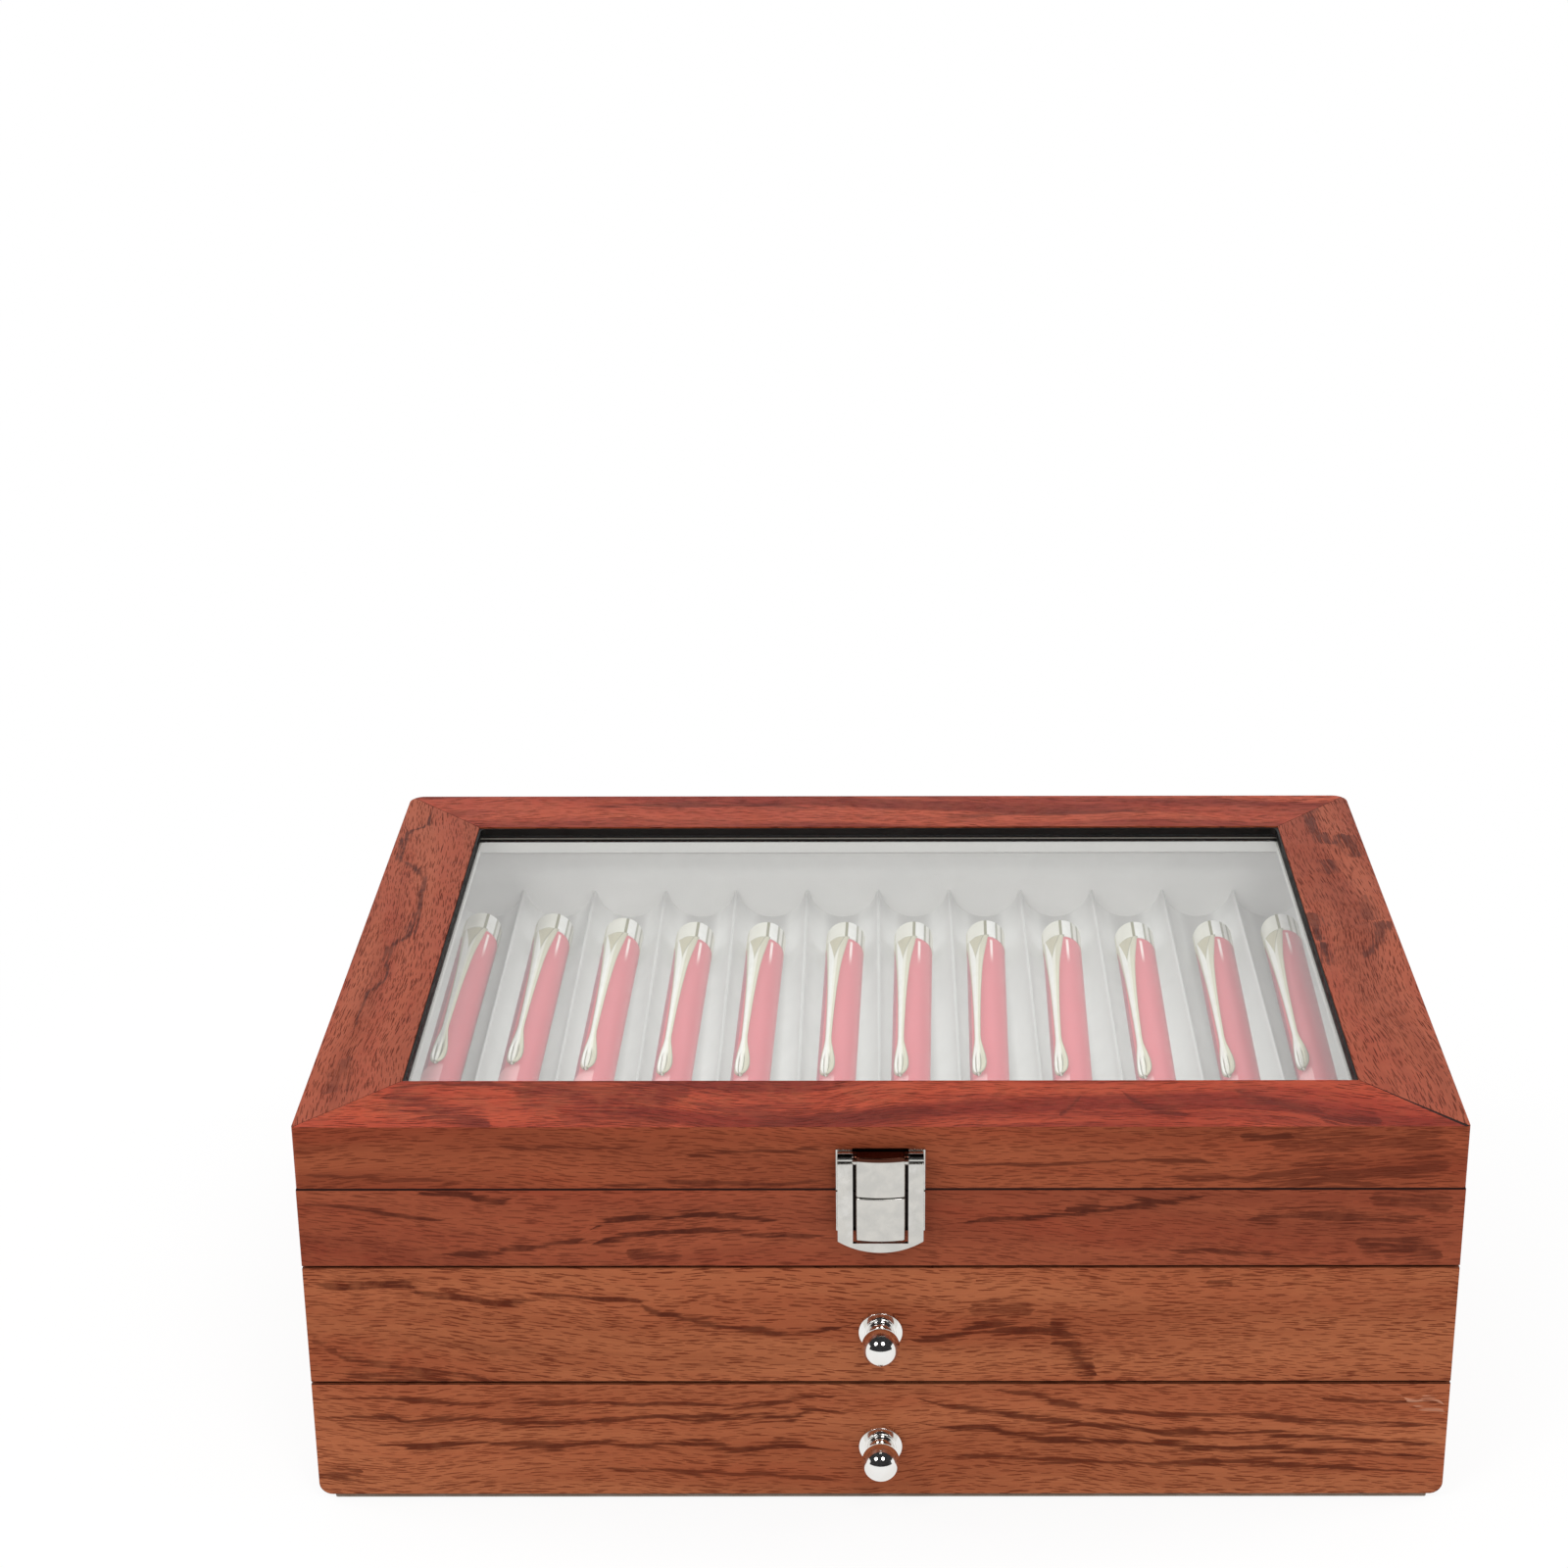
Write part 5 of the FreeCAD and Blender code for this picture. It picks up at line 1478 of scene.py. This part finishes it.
@dataclass
class Drawer:
    """One drawer: its box of boards, its pen tray and its turned knob."""

    prefix: str
    knob_height: float
    face: float = FRONT_FACE
    flange: float = 6.5
    flange_thick: float = 1.6
    collar: float = 4.1
    collar_end: float = 3.5
    neck: float = 2.4
    ring: float = 0.5
    ring_step: float = 0.35
    ball: float = 5.65
    ball_distance: float = 9.3
    neck_overlap: float = 0.8
    ball_flat: float = 0.15
    flat_step: float = 0.1
    stem_edge: float = 0.3
    board_edge: float = 0.5

    def knob(self, chrome: Material) -> None:
        """Turn the knob: flange, collar and neck from one cylinder, with a ball on its end.

        Args:
            chrome: Finish of the knob.
        """
        centre = (0.0, self.face - self.flange_thick / 2, self.knob_height)
        stem = Bench.drum(f"{self.prefix}_knob_stem", centre, self.flange, self.flange_thick, "Y", 64)
        Bench.edit(stem, "faces", lambda face: face.normal.y < -0.9)
        steps = (
            (self.flange - self.collar - self.ring, self.ring_step),
            (self.ring, self.collar_end - self.flange_thick - self.ring_step),
            (self.collar - self.neck, self.ball_distance - self.ball - self.collar_end + self.neck_overlap),
        )
        for inset, reach in steps:
            bpy.ops.mesh.inset(thickness=inset * MM, depth=0)
            Bench.pull(y=-reach)
        Bench.close()
        Bench.ease(stem, self.stem_edge, segments=3, angle=40)
        Bench.clear()
        bpy.ops.mesh.primitive_uv_sphere_add(
            segments=64, ring_count=32, radius=self.ball * MM, rotation=(math.pi / 2, 0, 0),
            location=(0, (self.face - self.ball_distance) * MM, self.knob_height * MM))
        ball = Bench.take(f"{self.prefix}_knob_ball")
        flat = (self.face - self.ball_distance + self.ball - self.ball_flat) * MM
        Bench.edit(ball, "verts", lambda v: v.co.y > flat)
        bpy.ops.transform.translate(value=(0, -self.flat_step * MM, 0))
        Bench.close()
        knob = Bench.join(f"{self.prefix}_knob_chromed", [stem, ball])
        Bench.smooth(knob, 40)
        Bench.settle(knob, f"{self.prefix}_drawer", "chrome", [f"{self.prefix}_knob"], chrome)

    def build(self, chrome: Material, flock: Material, boards: dict[str, Material]) -> None:
        """Model the drawer.

        Args:
            chrome: Finish of the knob.
            flock: Finish of the pen tray.
            boards: Finish of each board of the box, by the end of its name.
        """
        for part, board in boards.items():
            Bench.redress(f"{self.prefix}_drawer_{part}", "board", f"{self.prefix}_drawer", "plain_board",
                          board, self.board_edge)
        PenTray(f"{self.prefix}_drawer", f"{self.prefix}_drawer", channels=11).build(flock)
        self.knob(chrome)


# ---------------------------------------------------------------------------
# Pens
# ---------------------------------------------------------------------------


def ramp(value: float, start: float, end: float) -> float:
    """Rise evenly from 0 to 1 between two values."""
    return min(max((value - start) / (end - start), 0.0), 1.0)


@dataclass
class PenSet:
    """Twelve pens, each with a silver band, a fluted clip and a lacquered barrel.

    Each entry of lies is one pen from left to right: how far its end lies beside the middle of its
    channel, how far back it lies, and how far it is turned in its channel and about itself in degrees.
    The groove lies between two distances from the band's end, clip_outline gives half the clip's width
    at distances from there, and point_steps gives the length and last radius of each step of the point.
    """

    first: float = -141.625
    pitch: float = 25.75
    height: float = 91.95
    lies: tuple[tuple[float, float, float, float], ...] = (
        (0.9, 81.2, 0.1, 16.8), (0.7, 80.6, 0.4, 13.8), (0.0, 76.9, 0.8, 10.8), (-0.3, 73.5, 1.1, 7.7),
        (-0.9, 73.2, 1.1, 4.5), (1.3, 73.2, 1.3, 1.3), (-0.5, 73.5, 1.3, -1.9), (-0.9, 74.4, 1.3, -5.1),
        (0.1, 74.4, 1.4, -8.3), (0.0, 73.1, 0.8, -11.4), (1.9, 74.2, 1.1, -14.4), (0.8, 79.4, 1.1, -17.4))
    band_radius: float = 6.8
    band_length: float = 12.6
    rim: float = 0.9
    rim_step: float = 0.5
    dish: float = 2.6
    dish_rise: float = 0.35
    groove: Span = (11.0, 11.6)
    groove_depth: float = 0.15
    band_edge: float = 0.25
    barrel_radius: float = 6.6
    nib_radius: float = 6.1
    length: float = 171.5
    point_steps: tuple[Span, ...] = ((3.0, 5.4), (3.0, 3.9), (2.0, 2.2))
    point_edge: float = 0.3
    clip_turn: float = 23.0
    clip_start: float = CLIP_START
    clip_length: float = 114.0
    clip_thick: float = 0.8
    clip_outline: tuple[Span, ...] = (
        (CLIP_START, 4.25), (17, 3.95), (22, 3.55), (29, 2.95), (36, 2.5), (42, 2.2), (54, 1.75), (67, 1.4),
        (79, 1.2), (89, 1.1), (93, 1.3), (98, 1.95), (103, 2.5), (107, 2.65), (110, 2.45), (112.4, 1.8),
        (113.6, 1.0), (114, 0.4))

    def band(self) -> Piece:
        """Silver end with rounded rims and a turned groove, its rear face at the origin."""
        piece = Bench.drum("pen_band", (0, -self.band_length / 2, 0), self.band_radius,
                           self.band_length, "Y", 48)
        Bench.edit(piece, "faces", lambda face: face.normal.y > 0.9)
        bpy.ops.mesh.inset(thickness=self.rim * MM, depth=0)
        Bench.pull(y=-self.rim_step)
        bpy.ops.mesh.inset(thickness=self.dish * MM, depth=0)
        bpy.ops.transform.translate(value=(0, self.dish_rise * MM, 0))
        for spot in self.groove:
            bpy.ops.mesh.select_all(action="SELECT")
            bpy.ops.mesh.bisect(plane_co=(0, -spot * MM, 0), plane_no=(0, 1, 0))
        start, end = self.groove
        Bench.pick(piece, "faces", lambda face: start < -face.calc_center_median().y / MM < end)
        bpy.ops.mesh.inset(thickness=0.1 * MM, depth=-self.groove_depth * MM)
        Bench.close()
        Bench.ease(piece, self.band_edge, angle=40)
        self.mark(piece, lambda along: self.band_radius)
        return piece

    def barrel(self) -> Piece:
        """Tapered barrel with a rounded point."""
        body = self.length - self.band_length
        piece = Bench.drum("pen_barrel", (0, -self.band_length - body / 2, 0), self.barrel_radius, body,
                           "Y", 48)
        Bench.edit(piece, "faces", lambda face: face.normal.y < -0.9)
        shrink = self.nib_radius / self.barrel_radius
        bpy.ops.transform.resize(value=(shrink, 1, shrink))
        last = self.nib_radius
        for reach, radius in self.point_steps:
            Bench.pull(y=-reach)
            bpy.ops.transform.resize(value=(radius / last, 1, radius / last))
            last = radius
        Bench.close()
        Bench.ease(piece, self.point_edge, angle=50)
        self.mark(piece, lambda along: self.barrel_radius)
        return piece

    def clip_half_width(self, along: float) -> float:
        """Half the width of the clip at a distance from the band's end.

        Args:
            along: Distance in millimetres.

        Returns:
            Half the width in millimetres.
        """
        for (start, first), (end, last) in zip(self.clip_outline, self.clip_outline[1:]):
            if along <= end:
                return first + (last - first) * (along - start) / (end - start)
        return self.clip_outline[-1][1]

    def clip_height(self, along: float, across: float) -> float:
        """Height of the clip's face above the pen's axis.

        Args:
            along: Distance from the band's end in millimetres.
            across: Place across the clip, from -1 to 1.

        Returns:
            Height in millimetres.
        """
        radius = self.band_radius + 0.1 + self.clip_thick
        side = self.clip_half_width(along) * across
        rise = 0.45 * ramp(along, 14, 34) - 0.5 * ramp(-along, -14, -12.5)
        crown = 0.35 * (1 - across * across)
        fold = FOLD_SHARE * (1 - (along - self.clip_start) / FOLD_LENGTH)
        facet = -0.28 * ramp(fold - abs(across), 0, 0.12)
        flutes = 0.34 * ramp(along, 98, 106) * (math.cos(3 * math.pi * across) - 0.4)
        return math.sqrt(radius * radius - side * side) + rise + crown + facet + flutes

    def clip(self) -> Piece:
        """Clip from a flat sheet: broad foot, slim stem and a fluted drop at its end."""
        Bench.clear()
        bpy.ops.mesh.primitive_grid_add(x_subdivisions=16, y_subdivisions=90, size=1)
        piece = Bench.take("pen_clip")
        for point in piece.data.vertices:
            across = point.co.x * 2
            along = self.clip_start + (0.5 - point.co.y) * (self.clip_length - self.clip_start)
            point.co = Vector((self.clip_half_width(along) * across, -along,
                               self.clip_height(along, across))) * MM
        Bench.modify(piece, "SOLIDIFY", thickness=self.clip_thick * MM, offset=-1.0)
        self.mark(piece, self.clip_half_width)
        Bench.edit(piece)
        bpy.ops.transform.rotate(value=math.radians(self.clip_turn), orient_axis="Y",
                                 center_override=(0.0, 0.0, 0.0))
        Bench.close()
        return piece

    @staticmethod
    def mark(piece: Piece, half_width: Callable[[float], float]) -> None:
        """Store on every point its place on the pen.

        Args:
            piece: Part whose length runs from the origin to the front.
            half_width: Half the part's width at a distance along it, in millimetres.
        """
        places = piece.data.attributes.new("pen_place", "FLOAT_VECTOR", "POINT")
        for point, place in zip(piece.data.vertices, places.data):
            across, along = point.co.x / MM, -point.co.y / MM
            place.vector = (across, along, across / half_width(along))

    def repeat(self, name: str, master: Piece) -> Piece:
        """Copy a finished part to every pen's place and join the copies.

        Args:
            name: Name of the joined piece.
            master: The part, with its pen's end at the origin.

        Returns:
            The joined piece.
        """
        made = []
        for number, (beside, back, skew, turn) in enumerate(self.lies):
            twin = master.copy()
            twin.data = master.data.copy()
            bpy.context.scene.collection.objects.link(twin)
            spot = Vector((self.first + self.pitch * number + beside, back, self.height)) * MM
            lie = (Matrix.Translation(spot) @ Matrix.Rotation(math.radians(-skew), 4, "Z")
                   @ Matrix.Rotation(math.radians(turn), 4, "Y"))
            twin.data.transform(lie)
            made.append(twin)
        bpy.data.objects.remove(master)
        return Bench.join(name, made)

    def build(self, lacquer: Material, band_silver: Material, clip_silver: Material) -> None:
        """Model the pens.

        Args:
            lacquer: Finish of the barrels.
            band_silver: Finish of the bands.
            clip_silver: Finish of the clips.
        """
        for name, master, node, slot, finish, angle in (
            ("pen_barrels_lacquered", self.barrel(), "pen_barrels", "pen_lacquer", lacquer, 30),
            ("pen_bands_silver", self.band(), "pen_caps", "chrome", band_silver, 30),
            ("pen_clips_silver", self.clip(), "pen_clips", "chrome", clip_silver, 60),
        ):
            piece = self.repeat(name, master)
            Bench.smooth(piece, angle)
            Bench.settle(piece, "case", slot, [node], finish)


# ---------------------------------------------------------------------------
# Hinges, glass, boards under the tray and screws
# ---------------------------------------------------------------------------


@dataclass
class Fittings:
    """Hinges, glass, strip, hidden boards and screws."""

    leaf_ease: float = 0.15
    pin_ease: float = 0.2
    board_ease: float = 0.3
    pad_ease: float = 0.5
    strip_ease: float = 0.15

    def build(self, steel: Material, board: Material, felt: Material, strip: Material,
              glass: Material) -> None:
        """Dress the fittings.

        Args:
            steel: Finish of hinges and screws.
            board: Finish of the boards inside the case.
            felt: Finish of the pad under the case.
            strip: Finish of the black strip round the glass.
            glass: Finish of the pane.
        """
        plans = (
            ("lower_hinge_leaves", "case", "satin_steel", self.leaf_ease, steel),
            ("upper_hinge_leaves", "lid", "satin_steel", self.leaf_ease, steel),
            ("hinge_pins", "lid", "satin_steel", self.pin_ease, steel),
            ("tray_deck", "case", "plain_board", self.board_ease, board),
            ("drawer_shelf", "case", "plain_board", self.board_ease, board),
            ("base_panel", "case", "plain_board", self.board_ease, board),
            ("base_pad", "case", "base_pad", self.pad_ease, felt),
            ("window_gasket", "lid", "black_strip", self.strip_ease, strip),
        )
        for node, body, slot, width, material in plans:
            Bench.redress(node, "finished", body, slot, material, width, angle=40)
        for node in ("latch_plate_screws", "latch_keeper_screws", "lower_hinge_screws",
                     "upper_hinge_screws", "upper_knob_screw", "lower_knob_screw"):
            self.dress(node, steel)
        self.dress("glass_pane", glass)

    @staticmethod
    def dress(node: str, material: Material) -> None:
        """Give a CAD node that stays its material."""
        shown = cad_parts[node]
        shown.data.materials.clear()
        shown.data.materials.append(material)
        log.info("%s keeps its shape", node)


# ---------------------------------------------------------------------------
# Studio
# ---------------------------------------------------------------------------


@dataclass
class Studio:
    """Floor, light and camera."""

    lens: float = 68.651
    place: Place = (-0.00251, -0.88169, 0.55181)
    turn: Place = (68.85, 0.149, 0.141)
    shift: Span = (-0.0494, -0.05)
    ambient: float = 0.72
    shadow_reach: Span = (0.10, 0.45)
    shadow_white: float = 0.86
    lamp_aim: Place = (0.0, 0.0, 0.06)
    card_ease: float = 2.0

    def camera(self) -> None:
        """Set up the camera."""
        data = bpy.data.cameras.new("camera")
        data.lens = self.lens
        data.sensor_width = 36.0
        data.sensor_fit = "AUTO"
        data.shift_x, data.shift_y = self.shift
        data.clip_start = 0.01
        data.clip_end = 50.0
        camera = bpy.data.objects.new("camera", data)
        camera.location = self.place
        camera.rotation_euler = [math.radians(part) for part in self.turn]
        bpy.context.scene.collection.objects.link(camera)
        bpy.context.scene.camera = camera

    def floor(self) -> None:
        """Lay a pale floor that fades to white away from the chest."""
        Bench.clear()
        bpy.ops.mesh.primitive_grid_add(x_subdivisions=8, y_subdivisions=8, size=12, location=(0, 0, 0))
        floor = Bench.take("floor")
        graph = Paint("pale_floor")
        paper = graph.noise(graph.place(), 40.0, 3.0)
        graph.coat(graph.mix(paper, shade(247, 247, 246), shade(250, 250, 250)), 0.9, Specular_IOR_Level=0.0)
        white = graph.node("ShaderNodeEmission")
        white.inputs["Strength"].default_value = 1.0
        x, y, _ = graph.split(graph.place())
        away = graph.math("SQRT", graph.plus(graph.times(x, x), graph.times(y, y)))
        share = graph.times(graph.seen(), graph.spread(away, *self.shadow_reach, self.shadow_white, 1.0))
        graph.show_instead(share, white.outputs[0])
        floor.data.materials.append(graph.material)

    def world(self) -> None:
        """White surroundings for what is seen, and a plain grey light for the rest."""
        world = bpy.data.worlds.new("studio")
        world.use_nodes = True
        bpy.context.scene.world = world
        graph = Graph(world.node_tree)
        light = world.node_tree.nodes["Background"]
        white = graph.node("ShaderNodeBackground")
        for background, strength in ((light, self.ambient), (white, 1.0)):
            graph.feed(background.inputs["Color"], (1.0, 1.0, 1.0))
            background.inputs["Strength"].default_value = strength
        graph.blend(graph.seen(), light.outputs[0], white.outputs[0], "World Output")

    def lamp(self, name: str, place: Place, size: float, energy: float) -> Piece:
        """Hang a round soft lamp that looks at the chest.

        Args:
            name: Name of the lamp.
            place: Where it hangs, in metres.
            size: Its diameter in metres.
            energy: Power in watts.

        Returns:
            The lamp.
        """
        data = bpy.data.lights.new(name, "AREA")
        data.shape = "DISK"
        data.size = size
        data.energy = energy
        lamp = bpy.data.objects.new(name, data)
        lamp.location = place
        aim = Vector(self.lamp_aim) - Vector(place)
        lamp.rotation_euler = aim.to_track_quat("-Z", "Y").to_euler()
        bpy.context.scene.collection.objects.link(lamp)
        return lamp

    @staticmethod
    def spare(lamp: Piece, node: str) -> None:
        """Keep the lamp's mirror image off a CAD node."""
        skipped = bpy.data.collections.new(f"{lamp.name}_skips")
        skipped.objects.link(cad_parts[node])
        lamp.light_linking.receiver_collection = skipped
        skipped.collection_objects[0].light_linking.link_state = "EXCLUDE"

    def card(self, name: str, low: Place, high: Place) -> None:
        """Stand a dark card that only the polished metal sees."""
        card = Bench.block(name, [part / MM for part in low], [part / MM for part in high])
        Bench.ease(card, self.card_ease)
        graph = Paint(f"{name}_cloth")
        weave = graph.noise(graph.place(), 60.0, 2.0)
        graph.coat(graph.mix(weave, shade(46, 46, 48), shade(60, 60, 62)), 1.0)
        card.data.materials.append(graph.material)
        for kind in ("camera", "diffuse", "shadow", "transmission"):
            setattr(card, f"visible_{kind}", False)

    def build(self) -> None:
        """Set up the floor, the light and the camera."""
        self.camera()
        self.floor()
        self.world()
        for name, place in (("left_softbox", (-0.78, -0.95, 1.25)), ("right_softbox", (0.36, -1.0, 1.3))):
            self.spare(self.lamp(name, place, size=0.5, energy=5.0), "glass_pane")
        for name, x in (("left_panel", -1.3), ("right_panel", 1.3)):
            self.lamp(name, (x, 0.1, 1.0), size=0.6, energy=6.0).visible_glossy = False
        self.card("front_card", (-7.0, -2.62, 0.35), (7.0, -2.60, 2.6))
        self.card("ceiling_card", (-7.0, -2.60, 2.60), (7.0, 1.0, 2.62))
        bpy.context.scene.view_settings.view_transform = "Standard"
        log.info("studio is set")


def main() -> None:
    """Build every sub-assembly and report it."""
    logging.basicConfig(level=logging.INFO, format="%(name)s %(message)s")
    low, high = (corner.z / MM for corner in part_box("top_tray_ridges"))
    # The flock is painted lighter where shade falls: low in the tray's channels and near the linings' top.
    flock = Flock("grey_flock", shade(194, 192, 189), painted_light_by_height=(
        low + 1, high, shade(230, 229, 226), shade(209, 207, 204))).material()
    lining = Flock("lining_flock", shade(235, 233, 230), painted_light_by_height=(
        97.0, 108.5, shade(222, 220, 217), shade(255, 255, 253))).material()
    # Black bands on the bead, with a grey line between them as a painted highlight of the glass's edge.
    bead = Flock("bead_flock", shade(208, 206, 202), bands=(
        (120.0, shade(16, 13, 12)), (121.25, shade(150, 144, 136)), (121.7, shade(16, 13, 12)))).material()
    # The latch carries painted shade and a painted wood reflection in its recess.
    nickel = Metal("satin_nickel", shade(198, 196, 191), rough=0.20, recess=Recess()).material()
    chrome = Metal("bright_chrome", shade(236, 235, 232), rough=0.05, smudges=0.03).material()
    # Painted reflections across the bands and clips, and painted light and shade across the barrels.
    band_silver = PenPlate("pen_band_silver", PaintedLightStripes((
        (-7.0, shade(214, 209, 186)), (-6.2, shade(244, 242, 230)), (-0.1, shade(150, 144, 112)),
        (0.9, shade(254, 253, 249)), (3.8, shade(176, 172, 156)), (4.5, shade(236, 234, 226)),
        (5.5, shade(168, 164, 148)), (6.0, shade(222, 219, 206))))).material()
    clip_silver = ClipPlate("pen_clip_silver", PaintedLightStripes((
        (-1.0, shade(212, 207, 184)), (-0.72, shade(254, 253, 247)), (0.05, shade(240, 237, 224)),
        (0.45, shade(214, 209, 184))), soft=0.09)).material()
    steel = Metal("plain_steel", shade(196, 195, 191), rough=0.28).material()
    lacquer = Lacquer("red_lacquer", PaintedLightStripes((
        (-7.0, shade(178, 95, 108)), (-5.2, shade(219, 117, 125)), (-1.0, shade(216, 112, 120)),
        (5.8, shade(202, 95, 105)))), deep=shade(206, 96, 106)).material()
    along = Board("plain_board_along", shade(196, 160, 122), shade(150, 110, 76), Grain.SIDE).material()
    wide = Board("plain_board_wide", shade(196, 160, 122), shade(150, 110, 76), Grain.FRONT).material()
    felt = Flock("brown_felt", shade(128, 110, 96), pile=0.6).material()
    strip = Strip("black_strip", shade(14, 12, 11)).material()
    glass = Glass("window_glass").material()
    VeneeredBoards().build()
    Linings().build(lining, bead)
    PenTray("top_tray", "case", channels=12).build(flock)
    Latch().build(nickel)
    boards = {"left_side": along, "right_side": along, "back": wide, "bottom": wide}
    for drawer in (Drawer("upper", knob_height=59.9), Drawer("lower", knob_height=19.9)):
        drawer.build(chrome, flock, boards)
    PenSet().build(lacquer, band_silver, clip_silver)
    Fittings().build(steel, wide, felt, strip, glass)
    Studio().build()
    Bench.clear()


if __name__ == "__main__":
    main()
